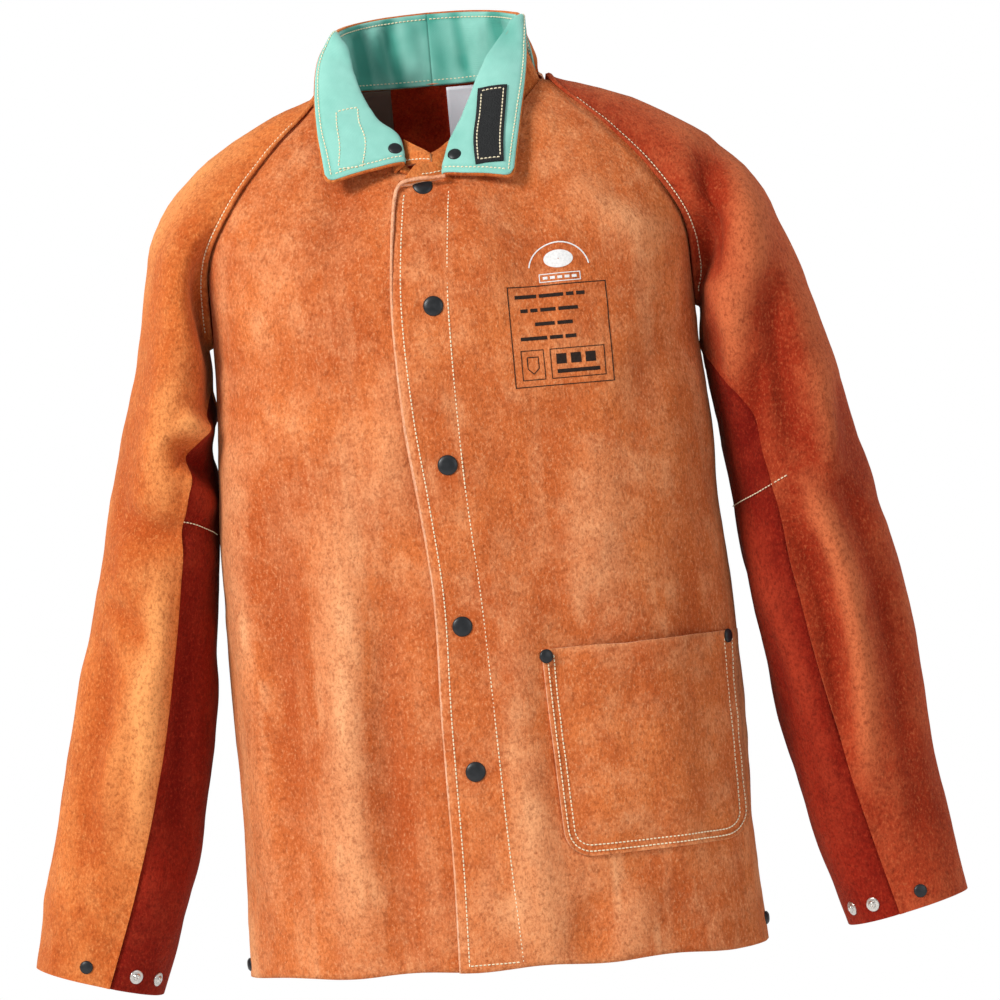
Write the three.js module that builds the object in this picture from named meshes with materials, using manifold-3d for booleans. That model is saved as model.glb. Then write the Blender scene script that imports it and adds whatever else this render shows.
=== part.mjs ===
// Leather welding jacket with raglan sleeves, a snapped placket and a fold-open collar.
// Millimetres, +Z up, +X towards the wearer's left, front towards -Y.
// Heights in the named sizes are above the hem; the whole model is then dropped so that
// the origin is the middle of the neck opening at the height of the back neck seam.
import * as THREE from 'three';
import { mergeVertices } from 'three/addons/utils/BufferGeometryUtils.js';
import Module from 'manifold-3d';

const wasm = await Module();
wasm.setup();

// ---------- driving dimensions ----------
const JACKET_LENGTH = 797;          // hem to back neck seam
const LEATHER = 2.2;                // split cowhide
const LINING = 0.9;                 // satin and collar cloth
const SEAM_GAP = 0.4;               // clearance between two pieces sewn edge to edge
const LAYER_GAP = 0.3;              // clearance between two pieces lying on each other
const LOOSE_GAP = 0.8;              // the same between curved pieces that hang loose

const HEM_HALF_WIDTH = 236;
const HEM_FRONT_DEPTH = 140;
const HEM_BACK_DEPTH = 126;
const CHEST_HALF_WIDTH = 220;
const CHEST_FRONT_DEPTH = 149;
const CHEST_BACK_DEPTH = 136;
const BODY_ROUNDNESS = 2.5;         // superellipse power of the body sections
const SLEEVE_ROUNDNESS = 2.3;       // superellipse power of the sleeve sections

/** Height above the hem of a place measured down from the back neck seam. */
const below = (drop) => JACKET_LENGTH - drop;
const ARMPIT_HEIGHT = below(219);
const RAGLAN_TOP = below(9);        // front and back raglan seams meet the neckline here
const NECK_SIDE_HEIGHT = below(-3);
const FRONT_TOP = below(107);       // top of the hinged fronts
const SHOULDER_DIP = -0.32;         // slope of the shoulder where it leaves the raglan seam
const SHOULDER_PULL = 0.9;          // how far the shoulder keeps its direction at either end

const PLACKET_WIDTH = 58;
const PLACKET_EDGE = -50;           // free edge of the over-flap, past the centre line
const PLACKET_TUCK = 2;             // the leather under the band stops short of its edge
const UNDERFLAP_EDGE = 2;           // free edge of the right front, under the placket
const LAP_BLEND = { from: 8, to: 75 };  // x over which the lapping front comes down to the form
const SNAP_STACK = 4.4;             // height that a closed snap needs between the fronts
const SNAP_X = -16;
const SNAP_HEIGHTS = [514, 385, 242, 103, 14].map((drop) => FRONT_TOP - drop);
const SNAP_CAP_RADIUS = 9;
const SNAP_FLANGE_RADIUS = 6.5;
const SNAP_POST_RADIUS = 2;
const SNAP_HOLE_RADIUS = 2.5;
const HOLE_DEPTH = 40;              // of the cutter, past both faces of the leather
const SMALL_CAP_RADIUS = 6;
const SMALL_CAP_HEIGHT = 2.6;

const BACK_COLUMNS = 14;
const YOKE_ROWS = 4;                // rows of the back that the satin yoke lines
// heights of the facet rows, closer together where the body turns in towards the neck
const rows = (count) => [...Array(count).keys()].map((i) => (ARMPIT_HEIGHT * i) / count);
const BACK_HEIGHTS = [
  ...rows(5), ARMPIT_HEIGHT, below(157), FRONT_TOP, below(62), below(27), JACKET_LENGTH,
];
const PANEL_HEIGHTS = [...rows(6), ARMPIT_HEIGHT, below(163), FRONT_TOP];
const SIDE_HEIGHTS = [
  ...rows(5), ARMPIT_HEIGHT, below(182), below(145), FRONT_TOP, below(72), below(40), below(15),
];

const FOLD_WIDTH = 36;              // strip of each front that bends when it opens
const FOLD_HEM_X = 190;
const FOLD_TOP_X = { left: 45, right: 62 };

const POCKET_WIDTH = 176;
const POCKET_HEIGHT = 180;
const POCKET_BOTTOM = 96;
const POCKET_INNER_X = 52;
const POCKET_CORNER = 22;
const RIVET_RADIUS = 5.6;
const RIVET_LEAN = 0.12 / 6.6;       // a rivet's lift for each mm of its radius and of the lap's rise
const RIVET_INSET = 7;              // from the pocket's edges to a rivet's middle

const ELBOW_BEND = THREE.MathUtils.degToRad(62);
const SHOULDER_LIFT = THREE.MathUtils.degToRad(50);
const JOINT_BAND = 7;               // shortest half length of a bending ring
const HEAD_GAP = 1.6;               // clearance along the raglan seam, on the form's facets
const JOINT_GAP = { shoulder: 1.7, elbow: 0.9 };  // clearance round a bending ring
const CUFF_FACING = { length: 42, thickness: 1.2 };
const CUFF_SNAPS = { inset: 15, cap: 1.42, studs: [2.12, 2.62] };  // from the end; angles round it
const HEM_SNAP = { height: 14, turn: 0.09, lift: 0.6 };  // turn forward of the side line

const COLLAR_REACH = { left: -0.4, right: -2.5 };  // from a tip's top corner to the stand's end
const COLLAR_STAND_HEIGHT = 56;
const COLLAR_STAND_TOP = { across: 87, back: 85 };
const COLLAR_PLANE = { y: -118, slope: 0.645, drop: 92 };
const COLLAR_CLOTH = 1.6;           // folded cotton lining of the collar
const PATCH_LENGTH = 70;
const PATCH_WIDTH = 25;
const PATCH_THICKNESS = 2;
const SIZE_TAB = { width: 28, height: 25, x: 26 };

// half width, front depth and back depth of the body form, by height above the hem
const FORM = [
  [0, HEM_HALF_WIDTH, HEM_FRONT_DEPTH, HEM_BACK_DEPTH],
  [0.2 * ARMPIT_HEIGHT, HEM_HALF_WIDTH - 5, HEM_FRONT_DEPTH + 2, HEM_BACK_DEPTH],
  [0.52 * ARMPIT_HEIGHT, HEM_HALF_WIDTH - 6, HEM_FRONT_DEPTH + 6, HEM_BACK_DEPTH + 2],
  [0.78 * ARMPIT_HEIGHT, CHEST_HALF_WIDTH + 5, CHEST_FRONT_DEPTH, CHEST_BACK_DEPTH - 4],
  [ARMPIT_HEIGHT, CHEST_HALF_WIDTH, CHEST_FRONT_DEPTH - 1, CHEST_BACK_DEPTH],
  [below(157), CHEST_HALF_WIDTH + 4, CHEST_FRONT_DEPTH - 11, CHEST_BACK_DEPTH],
  [below(97), CHEST_HALF_WIDTH + 3, CHEST_FRONT_DEPTH - 41, CHEST_BACK_DEPTH - 9],
  [below(52), CHEST_HALF_WIDTH - 32, CHEST_FRONT_DEPTH - 67, CHEST_BACK_DEPTH - 28],
  [RAGLAN_TOP, CHEST_HALF_WIDTH - 89, CHEST_FRONT_DEPTH - 97, CHEST_BACK_DEPTH - 58],
  [NECK_SIDE_HEIGHT, CHEST_HALF_WIDTH - 122, CHEST_FRONT_DEPTH - 107, CHEST_BACK_DEPTH - 68],
];
// share of the form's half width at which the raglan seam runs, by height
const RAGLAN = [
  [ARMPIT_HEIGHT, 1], [below(182), 0.985], [below(145), 0.955], [below(97), 0.835],
  [below(52), 0.79], [RAGLAN_TOP, 0.8], [NECK_SIDE_HEIGHT, 1],
];
// sleeve sections from shoulder to cuff: outer and inner edge, each by its distance out past the
// side of the chest and its drop below the neck seam, then the depth from front to back
const SLEEVE = {
  right: [
    [44, 142, 3, 249, 178], [63, 217, 6, 292, 172], [87, 297, 9, 342, 166],
    [109, 377, 13, 407, 158], [129, 457, 18, 485, 150], [150, 537, 26, 565, 144],
    [171, 617, 44, 651, 138], [191, 697, 67, 733, 132], [208, 765, 94, 801, 126],
  ],
  left: [
    [70, 142, 3, 249, 178], [97, 217, 6, 292, 172], [120, 297, 11, 337, 166],
    [139, 377, 18, 405, 158], [155, 457, 23, 481, 150], [167, 537, 31, 559, 144],
    [175, 617, 46, 641, 138], [184, 697, 64, 719, 132], [193, 761, 84, 795, 126],
  ],
};
const ELBOW_STATION = 3.25;         // place of the elbow along the sleeve's sections
const SHOULDER_STATION = 0.55;      // place of the shoulder bend along them
const SLEEVE_RADIUS = 60;           // mean, for turning a clearance into an angle
const SLEEVE_COLUMNS = 24;          // facets round a sleeve
const UNDER_SLEEVE = { from: 8, to: 17 };  // the facets that the darker under-sleeve spans
// outline of each collar tip, seen from the front: x and drop below the neck seam
const COLLAR_TIP = {
  right: [[-86, -49], [-105, -6], [-103, 91], [-31, 78], [-66, 3]],
  left: [[84, -53], [88, -11], [61, 102], [3, 91], [41, 5]],
};
const COLLAR_SNAP = { right: [-46, 64], left: [19, 75] };
const COLLAR_PATCH = { right: [-79, 52], left: [50, 51] };

const COLOURS = {
  leather: 0xb5502a, shade: 0x7d2f1d, lining: 0x8a7f78, mint: 0xa1d7cd,
  black: 0x18181a, steel: 0xb9bcc0, cloth: 0xe6e2d8,
};

// ---------- curves and the body form ----------
const smoothstep = (x, from, to) => {
  const t = Math.min(1, Math.max(0, (x - from) / (to - from)));
  return t * t * (3 - 2 * t);
};

/** Smooth value of a column of a table whose first column is the place. */
function along(table, place, column) {
  const last = table.length - 1;
  let k = 0;
  while (k < last - 1 && place > table[k + 1][0]) k += 1;
  const slope = (i) => {
    const a = table[Math.max(0, i - 1)];
    const b = table[Math.min(last, i + 1)];
    return (b[column] - a[column]) / (b[0] - a[0]);
  };
  const [p, q] = [table[k], table[k + 1]];
  const span = q[0] - p[0];
  const t = (place - p[0]) / span;
  const [t2, t3] = [t * t, t * t * t];
  return (2 * t3 - 3 * t2 + 1) * p[column] + (t3 - 2 * t2 + t) * span * slope(k)
    + (3 * t2 - 2 * t3) * q[column] + (t3 - t2) * span * slope(k + 1);
}

const power = (value, exponent) => Math.sign(value) * Math.abs(value) ** exponent;

/** Point of the body form: turn 0 is the centre line, a quarter turn the side. */
function formPoint(turn, height, back) {
  const half = along(FORM, height, 1);
  const depth = back ? along(FORM, height, 3) : -along(FORM, height, 2);
  const e = 2 / BODY_ROUNDNESS;
  return new THREE.Vector3(half * power(Math.sin(turn), e), depth * power(Math.cos(turn), e), height);
}

/** Turn at which the form reaches the given x at the given height. */
function turnAt(x, height) {
  const share = Math.min(1, Math.abs(x) / along(FORM, height, 1));
  return Math.sign(x) * Math.asin(share ** (BODY_ROUNDNESS / 2));
}

const raglanTurn = (height) => {
  if (height <= ARMPIT_HEIGHT) return Math.PI / 2;
  const share = Math.min(1, along(RAGLAN, height, 1));
  return Math.asin(share ** (BODY_ROUNDNESS / 2));
};

/** Position on the sleeve's table at a place counted in sections. */
function sleeveSection(side, place) {
  const table = SLEEVE[side].map((row, i) => [i, ...row]);
  const p = Math.min(Math.max(place, 0), table.length - 1);
  const [outX, outDrop, inX, inDrop, depth] = [1, 2, 3, 4, 5].map((c) => along(table, p, c));
  const sign = side === 'left' ? 1 : -1;
  const outer = new THREE.Vector3(sign * (CHEST_HALF_WIDTH + outX), 0, below(outDrop));
  const inner = new THREE.Vector3(sign * (CHEST_HALF_WIDTH + inX), 0, below(inDrop));
  return { outer, inner, depth };
}

/** Point of a sleeve: angle 0 is the outer side, pi the side next to the body. */
function sleevePoint(side, place, angle) {
  const { outer, inner, depth } = sleeveSection(side, place);
  const middle = outer.clone().add(inner).multiplyScalar(0.5);
  const across = outer.clone().sub(inner).multiplyScalar(0.5);
  const e = 2 / SLEEVE_ROUNDNESS;
  return middle.addScaledVector(across, power(Math.cos(angle), e))
    .add(new THREE.Vector3(0, 0.5 * depth * power(-Math.sin(angle), e), 0));
}

/** Length of sleeve between two neighbouring sections, at a place. */
function sectionStep(side, place) {
  const a = sleeveSection(side, place - 0.5);
  const b = sleeveSection(side, place + 0.5);
  return a.outer.add(a.inner).distanceTo(b.outer.add(b.inner)) / 2;
}

/** Point of the raglan seam loop, by the same angle as the sleeve. */
function raglanPoint(side, angle) {
  const share = 1 - Math.abs(angle - Math.PI) / Math.PI;
  const height = NECK_SIDE_HEIGHT + (ARMPIT_HEIGHT - NECK_SIDE_HEIGHT) * share ** 0.8;
  const turn = raglanTurn(height) * (side === 'left' ? 1 : -1);
  return formPoint(turn, height, angle > Math.PI);
}

/** Point of the shoulder part of a sleeve, from the raglan seam to the first section. */
function shoulderPoint(side, reach, angle) {
  const from = raglanPoint(side, angle);
  const to = sleevePoint(side, 0, angle);
  const ahead = sleevePoint(side, 0.5, angle).sub(to).normalize();
  const span = from.distanceTo(to);
  const away = new THREE.Vector3(side === 'left' ? 1 : -1, 0, SHOULDER_DIP).normalize();
  const [t, t2, t3] = [reach, reach ** 2, reach ** 3];
  return from.clone().multiplyScalar(2 * t3 - 3 * t2 + 1)
    .addScaledVector(away, (t3 - 2 * t2 + t) * span * SHOULDER_PULL)
    .addScaledVector(to, 3 * t2 - 2 * t3)
    .addScaledVector(ahead, (t3 - t2) * span * SHOULDER_PULL);
}

// ---------- solids ----------
/** Closed geometry from a list of points and triangles, turned to face out. */
function closedGeometry(points, triangles) {
  let volume = 0;
  for (const [a, b, c] of triangles) {
    volume += points[a].dot(new THREE.Vector3().crossVectors(points[b], points[c]));
  }
  const index = triangles.flatMap(([a, b, c]) => (volume < 0 ? [a, c, b] : [a, b, c]));
  const geometry = new THREE.BufferGeometry();
  const flat = points.flatMap((p) => [p.x, p.y, p.z]);
  geometry.setAttribute('position', new THREE.Float32BufferAttribute(flat, 3));
  geometry.setIndex(index);
  return geometry;
}

/**
 * Sheet of even thickness on a surface. surface(u, v) gives points for u and v from 0 to 1,
 * layer gives the outer and inner distance from it, facing is a point on the inner side.
 */
function sheet(surface, { across, down, layer, facing, ring = false }) {
  const step = 1e-3;
  const [outer, inner] = [[], []];
  const columns = ring ? across : across + 1;
  for (let j = 0; j <= down; j += 1) {
    for (let i = 0; i < columns; i += 1) {
      const [u, v] = [i / across, j / down];
      const p = surface(u, v);
      const du = surface(u + (u > 0.5 ? -step : step), v).sub(p).multiplyScalar(u > 0.5 ? -1 : 1);
      const dv = surface(u, v + (v > 0.5 ? -step : step)).sub(p).multiplyScalar(v > 0.5 ? -1 : 1);
      const normal = du.cross(dv).normalize();
      if (normal.dot(p.clone().sub(facing(p))) < 0) normal.negate();
      const [high, low] = typeof layer === 'function' ? layer(p) : layer;
      outer.push(p.clone().addScaledVector(normal, high));
      inner.push(p.clone().addScaledVector(normal, low));
    }
  }
  const total = outer.length;
  const at = (i, j) => j * columns + (i % columns);
  const triangles = [];
  const quad = (a, b, c, d) => triangles.push([a, b, c], [a, c, d]);
  for (let j = 0; j < down; j += 1) {
    for (let i = 0; i < across; i += 1) {
      const [a, b, c, d] = [at(i, j), at(i + 1, j), at(i + 1, j + 1), at(i, j + 1)];
      quad(a, b, c, d);
      quad(total + a, total + d, total + c, total + b);
    }
  }
  for (let i = 0; i < across; i += 1) {
    quad(at(i, 0), total + at(i, 0), total + at(i + 1, 0), at(i + 1, 0));
    quad(at(i + 1, down), total + at(i + 1, down), total + at(i, down), at(i, down));
  }
  for (let j = 0; j < down && !ring; j += 1) {
    quad(at(0, j + 1), total + at(0, j + 1), total + at(0, j), at(0, j));
    quad(at(across, j), total + at(across, j), total + at(across, j + 1), at(across, j + 1));
  }
  return closedGeometry([...outer, ...inner], triangles);
}

/** Manifold solid of a closed geometry placed by a matrix. */
function solidOf(geometry, matrix = new THREE.Matrix4()) {
  const plain = geometry.clone().applyMatrix4(matrix);
  for (const name of Object.keys(plain.attributes)) {
    if (name !== 'position') plain.deleteAttribute(name);
  }
  const merged = mergeVertices(plain, 1e-3);
  return new wasm.Manifold(new wasm.Mesh({
    numProp: 3,
    vertProperties: new Float32Array(merged.attributes.position.array),
    triVerts: new Uint32Array(merged.index.array),
  }));
}

/** Geometry with holes: each cutter is a geometry and the matrix that places it. */
function pierced(geometry, cutters) {
  let solid = solidOf(geometry);
  for (const { shape, matrix } of cutters) solid = solid.subtract(solidOf(shape, matrix));
  const mesh = solid.getMesh();
  const result = new THREE.BufferGeometry();
  const positions = new THREE.Float32BufferAttribute(mesh.vertProperties, 3);
  result.setAttribute('position', positions);
  result.setIndex([...mesh.triVerts]);
  return result;
}

/** Turned piece from a half outline of radius and height pairs. */
function turned(outline, segments = 10) {
  return new THREE.LatheGeometry(outline.map(([r, h]) => new THREE.Vector2(r, h)), segments);
}

/** Matrix that stands a turned piece on a point, along a direction. */
function standing(point, direction) {
  const turn = new THREE.Quaternion().setFromUnitVectors(new THREE.Vector3(0, 1, 0), direction);
  return new THREE.Matrix4().compose(point, turn, new THREE.Vector3(1, 1, 1));
}

// ---------- the assembly ----------
const jacket = new THREE.Group();
jacket.position.z = -JACKET_LENGTH;

function add(name, geometry, colour, metal = 0, matrix = null) {
  const look = { color: COLOURS[colour], roughness: metal ? 0.35 : 0.85, metalness: metal };
  const mesh = new THREE.Mesh(geometry, new THREE.MeshStandardMaterial(look));
  mesh.name = name;
  if (matrix) matrix.decompose(mesh.position, mesh.quaternion, mesh.scale);
  jacket.add(mesh);
}

// the axis point that a piece of the body form faces away from, a little below it
const AXIS_DROP = 30;
const bodyAxis = (p) => new THREE.Vector3(0, 0, p.z - AXIS_DROP);
const leatherLayer = [0, -LEATHER];

/** Part of the body form between two turn limits given as functions of height. */
function formSheet({ heights, from, to, back = false, layer = leatherLayer, across }) {
  const down = heights.length - 1;
  const surface = (u, v) => {
    const row = Math.min(down - 1, Math.floor(v * down));
    const height = heights[row] + (heights[row + 1] - heights[row]) * (v * down - row);
    const [a, b] = [from(height), to(height)];
    return formPoint(a + (b - a) * u, height, back);
  };
  return sheet(surface, { across, down, layer, facing: bodyAxis });
}

// --- back and linings ---
function buildBack() {
  const edge = (height) => raglanTurn(height) - SEAM_GAP / along(FORM, height, 3);
  add('back_panel', formSheet({
    heights: BACK_HEIGHTS, back: true, from: (h) => -edge(h), to: edge, across: BACK_COLUMNS,
  }), 'leather');
  const liningTurn = (height) => edge(height) * (1 - 2 / BACK_COLUMNS);
  const liningLayer = [-LEATHER - LOOSE_GAP, -LEATHER - LOOSE_GAP - LINING];
  add('back_yoke_lining', formSheet({
    heights: BACK_HEIGHTS.slice(-1 - YOKE_ROWS), back: true, layer: liningLayer,
    from: (h) => -liningTurn(h), to: liningTurn, across: BACK_COLUMNS - 2,
  }), 'lining');
  const tabDepth = -LEATHER - LOOSE_GAP - LINING - LAYER_GAP;
  const [low, high] = BACK_HEIGHTS.slice(-2);
  const tab = (u, v) => {
    const x = SIZE_TAB.x + SIZE_TAB.width * (u - 0.5);
    const top = formPoint(turnAt(x, high), high, true);
    return top.lerp(formPoint(turnAt(x, low), low, true), 0.05 + v * SIZE_TAB.height / (high - low));
  };
  add('size_tab', sheet(tab, {
    across: 1, down: 1, layer: [tabDepth, tabDepth - LINING], facing: bodyAxis,
  }), 'cloth');
}

// --- fronts: a hinged panel, a strip that bends, and the part that stays on the body ---
const foldLine = (side, height) =>
  FOLD_HEM_X + (FOLD_TOP_X[side] - FOLD_HEM_X) * Math.min(1, height / FRONT_TOP);

function neckEdge(side, height) {
  if (height <= FRONT_TOP) return foldLine(side, height);
  const seam = along(FORM, RAGLAN_TOP, 1) * along(RAGLAN, RAGLAN_TOP, 1);
  const rise = (height - FRONT_TOP) / (RAGLAN_TOP - FRONT_TOP);
  return FOLD_TOP_X[side] + (seam - FOLD_TOP_X[side]) * rise ** 1.15;
}

/** How far the left front stands proud of the form so that it laps over the right front. */
const lapRise = (x) => (SNAP_STACK + LEATHER) * (1 - smoothstep(x, LAP_BLEND.from, LAP_BLEND.to));
const leftLayer = (p) => [lapRise(p.x), lapRise(p.x) - LEATHER];

/** Point on the facets of the front and its outward direction, at an x and a height. */
function frontSpot(x, height, heights = PANEL_HEIGHTS) {
  const row = heights.findIndex((h) => h >= height);
  const [low, high] = [heights[row - 1], heights[row]];
  const foot = formPoint(turnAt(x, low), low, false);
  const up = formPoint(turnAt(x, high), high, false).sub(foot);
  const side = formPoint(turnAt(x + 1, low), low, false).sub(foot);
  const point = foot.clone().addScaledVector(up, (height - low) / (high - low));
  return { point, out: side.cross(up).normalize() };
}

const hole = new THREE.CylinderGeometry(SNAP_HOLE_RADIUS, SNAP_HOLE_RADIUS, HOLE_DEPTH, 8);
const snapHoles = SNAP_HEIGHTS.map((height) => {
  const { point, out } = frontSpot(SNAP_X, height);
  return { shape: hole, matrix: standing(point, out) };
});

function buildFronts() {
  const gapTurn = SEAM_GAP / CHEST_FRONT_DEPTH;
  for (const side of ['left', 'right']) {
    const sign = side === 'left' ? 1 : -1;
    const layer = side === 'left' ? leftLayer : leatherLayer;
    const shared = { heights: PANEL_HEIGHTS, layer, across: 4 };
    const edge = (h) => sign * (raglanTurn(h) - gapTurn);
    add(`${side}_front_side`, formSheet({
      ...shared, heights: SIDE_HEIGHTS, across: 11,
      from: (h) => turnAt(sign * (neckEdge(side, h) + SEAM_GAP), h), to: edge,
    }), 'leather');
    add(`${side}_front_fold`, formSheet({
      ...shared, across: 2,
      from: (h) => turnAt(sign * (foldLine(side, h) - FOLD_WIDTH), h),
      to: (h) => turnAt(sign * (foldLine(side, h) - SEAM_GAP), h),
    }), 'leather');
    const free = side === 'left' ? PLACKET_EDGE + PLACKET_TUCK : UNDERFLAP_EDGE;
    const panel = formSheet({
      ...shared,
      from: (h) => turnAt(free, h),
      to: (h) => turnAt(sign * (foldLine(side, h) - FOLD_WIDTH - SEAM_GAP), h),
    });
    add(`${side}_front_panel`, pierced(panel, snapHoles), 'leather');
  }
  const bandFloor = SNAP_STACK + LEATHER + LAYER_GAP;
  const band = formSheet({
    heights: PANEL_HEIGHTS, layer: [bandFloor + LEATHER, bandFloor], across: 2,
    from: (h) => turnAt(PLACKET_EDGE, h), to: (h) => turnAt(PLACKET_EDGE + PLACKET_WIDTH, h),
  });
  add('placket_band', pierced(band, snapHoles), 'leather');

  const capFloor = bandFloor + LEATHER + LAYER_GAP;
  const socketTop = SNAP_STACK - 2 * LAYER_GAP;
  const cap = turned([
    [0, socketTop - 1.2], [SNAP_FLANGE_RADIUS, socketTop - 1.2], [SNAP_FLANGE_RADIUS, socketTop],
    [SNAP_POST_RADIUS, socketTop], [SNAP_POST_RADIUS, capFloor], [SNAP_CAP_RADIUS, capFloor],
    [SNAP_CAP_RADIUS, capFloor + 1], [SNAP_CAP_RADIUS - 2.5, capFloor + 2.6], [0, capFloor + 3],
  ]);
  const back = -LEATHER - 2 * LAYER_GAP;
  const stud = turned([
    [0, back - 1.2], [SNAP_FLANGE_RADIUS, back - 1.2], [SNAP_FLANGE_RADIUS, back],
    [SNAP_POST_RADIUS, back], [SNAP_POST_RADIUS, 2 * LAYER_GAP],
    [SNAP_FLANGE_RADIUS, 2 * LAYER_GAP], [SNAP_FLANGE_RADIUS, 1.5], [0, 1.9],
  ]);
  SNAP_HEIGHTS.forEach((height, i) => {
    const { point, out } = frontSpot(SNAP_X, height);
    const matrix = standing(point, out);
    add(`front_snap_cap_${i + 1}`, cap, 'black', 0.2, matrix);
    add(`front_snap_stud_${i + 1}`, stud, 'steel', 0.9, matrix);
  });
}

// --- patch pocket on the left front ---
const POCKET_GAP = 2.3;             // the pocket stands off the curved front by this

function buildPocket() {
  const heights = [0, 0.12, 0.42, 1].map((share) => share * POCKET_CORNER);
  for (const share of [0.4, 0.7, 1]) heights.push(share * POCKET_HEIGHT);
  const down = heights.length - 1;
  const surface = (u, v) => {
    const row = Math.min(down - 1, Math.floor(v * down));
    const rise = heights[row] + (heights[row + 1] - heights[row]) * (v * down - row);
    const height = POCKET_BOTTOM + rise;
    const drop = Math.max(0, POCKET_CORNER - rise);
    const inset = POCKET_CORNER - Math.sqrt(Math.max(0, POCKET_CORNER ** 2 - drop ** 2));
    const from = turnAt(POCKET_INNER_X + inset, height);
    const to = turnAt(POCKET_INNER_X + POCKET_WIDTH - inset, height);
    return formPoint(from + (to - from) * u, height, false);
  };
  const layer = (p) => [lapRise(p.x) + POCKET_GAP + LEATHER, lapRise(p.x) + POCKET_GAP];
  add('chest_pocket', sheet(surface, { across: 12, down, layer, facing: bodyAxis }), 'leather');
  const rivet = turned([
    [0, 0], [RIVET_RADIUS, 0], [RIVET_RADIUS, 0.8], [RIVET_RADIUS - 2, 2.4], [0, 2.9],
  ]);
  const places = { pocket_rivet_inner: RIVET_INSET, pocket_rivet_outer: POCKET_WIDTH - RIVET_INSET };
  for (const [name, across] of Object.entries(places)) {
    const height = POCKET_BOTTOM + POCKET_HEIGHT - RIVET_INSET;
    const mouth = [POCKET_BOTTOM, POCKET_BOTTOM + POCKET_HEIGHT];
    const { point, out } = frontSpot(POCKET_INNER_X + across, height, mouth);
    const seat = lapRise(point.x) + LEATHER + POCKET_GAP
      + RIVET_LEAN * RIVET_RADIUS * (SNAP_STACK + LEATHER);
    add(name, rivet, 'black', 0.3, standing(point.addScaledVector(out, seat), out));
  }
}

// --- sleeves ---
/** Half length of a bending ring at an angle, in sections: long on the side that closes. */
function ringReach(side, place, angle, closing, bend) {
  const { outer, inner, depth } = sleeveSection(side, place);
  const half = closing === 'outer' ? outer.distanceTo(inner) / 2 : depth / 2;
  const toward = closing === 'outer' ? Math.cos(angle) : Math.sin(angle);
  const reach = JOINT_BAND + Math.max(0, toward) * half * Math.tan(bend / 2);
  return reach / sectionStep(side, place);
}

const TURN = 2 * Math.PI;
const sleeveCore = (side) => (p) => {
  const rows = SLEEVE[side];
  let place = 0;
  const height = (k) => {
    const { outer, inner } = sleeveSection(side, k);
    return (outer.z + inner.z) / 2;
  };
  while (place < rows.length - 1 && height(place) > p.z) place += 0.25;
  const { outer, inner } = sleeveSection(side, place);
  return outer.add(inner).multiplyScalar(0.5);
};

function buildSleeve(side) {
  const last = SLEEVE[side].length - 1;
  const sign = side === 'left' ? 1 : -1;
  const facing = sleeveCore(side);
  const shoulder = (angle) => ringReach(side, SHOULDER_STATION, angle, 'outer', SHOULDER_LIFT);
  const elbow = (angle) => ringReach(side, ELBOW_STATION, angle, 'front', ELBOW_BEND);
  const gap = JOINT_GAP.elbow / sectionStep(side, ELBOW_STATION);
  const shoulderGap = JOINT_GAP.shoulder / sectionStep(side, SHOULDER_STATION);
  const strip = (angles, top, bottom, down, extra = {}) => {
    const [from, to] = angles;
    const surface = (u, v) => {
      const angle = from + (to - from) * u;
      const [a, b] = [top(angle), bottom(angle)];
      return sleevePoint(side, a + (b - a) * v, angle);
    };
    return sheet(surface, { across: SLEEVE_COLUMNS, down, layer: leatherLayer, facing, ...extra });
  };
  const whole = [0, TURN];
  const facet = TURN / SLEEVE_COLUMNS;
  const seam = SEAM_GAP / 2 / SLEEVE_RADIUS;
  const { from, to } = UNDER_SLEEVE;
  const under = [from * facet + seam, to * facet - seam];
  const over = [to * facet + seam, from * facet - seam + TURN];
  const underColumns = { across: to - from };
  const overColumns = { across: SLEEVE_COLUMNS - to + from };

  const headFacing = (p) => new THREE.Vector3(
    sign * (CHEST_HALF_WIDTH - 30), 0, Math.min(p.z - 40, below(157)));
  add(`${side}_sleeve_head`, sheet((u, v) => {
    const angle = TURN * u;
    const start = HEAD_GAP / raglanPoint(side, angle).distanceTo(sleevePoint(side, 0, angle));
    return shoulderPoint(side, start + (1 - start) * v, angle);
  }, {
    across: SLEEVE_COLUMNS, down: 4, layer: leatherLayer, facing: headFacing, ring: true,
  }), 'leather');
  add(`${side}_shoulder_gusset`, strip(whole, () => shoulderGap,
    (a) => SHOULDER_STATION + shoulder(a) - shoulderGap, 2, { ring: true }), 'leather');
  const upperTop = (a) => SHOULDER_STATION + shoulder(a);
  const upperEnd = (a) => ELBOW_STATION - elbow(a);
  add(`${side}_upper_top_sleeve`, strip(over, upperTop, upperEnd, 3, overColumns), 'leather');
  add(`${side}_upper_under_sleeve`, strip(under, upperTop, upperEnd, 3, underColumns), 'shade');
  add(`${side}_elbow_gusset`, strip(whole, (a) => upperEnd(a) + gap,
    (a) => ELBOW_STATION + elbow(a) - gap, 2, { ring: true }), 'leather');
  const lowerTop = (a) => ELBOW_STATION + elbow(a);
  add(`${side}_lower_top_sleeve`, strip(over, lowerTop, () => last, 5, overColumns), 'leather');
  add(`${side}_lower_under_sleeve`, strip(under, lowerTop, () => last, 5, underColumns), 'shade');
  const facingStart = last - CUFF_FACING.length / sectionStep(side, last - 0.5);
  const facingLayer = [-LEATHER - LOOSE_GAP, -LEATHER - LOOSE_GAP - CUFF_FACING.thickness];
  add(`${side}_cuff_facing`, strip(whole, () => facingStart, () => last - gap, 2,
    { ring: true, layer: facingLayer }), 'shade');
}

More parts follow.
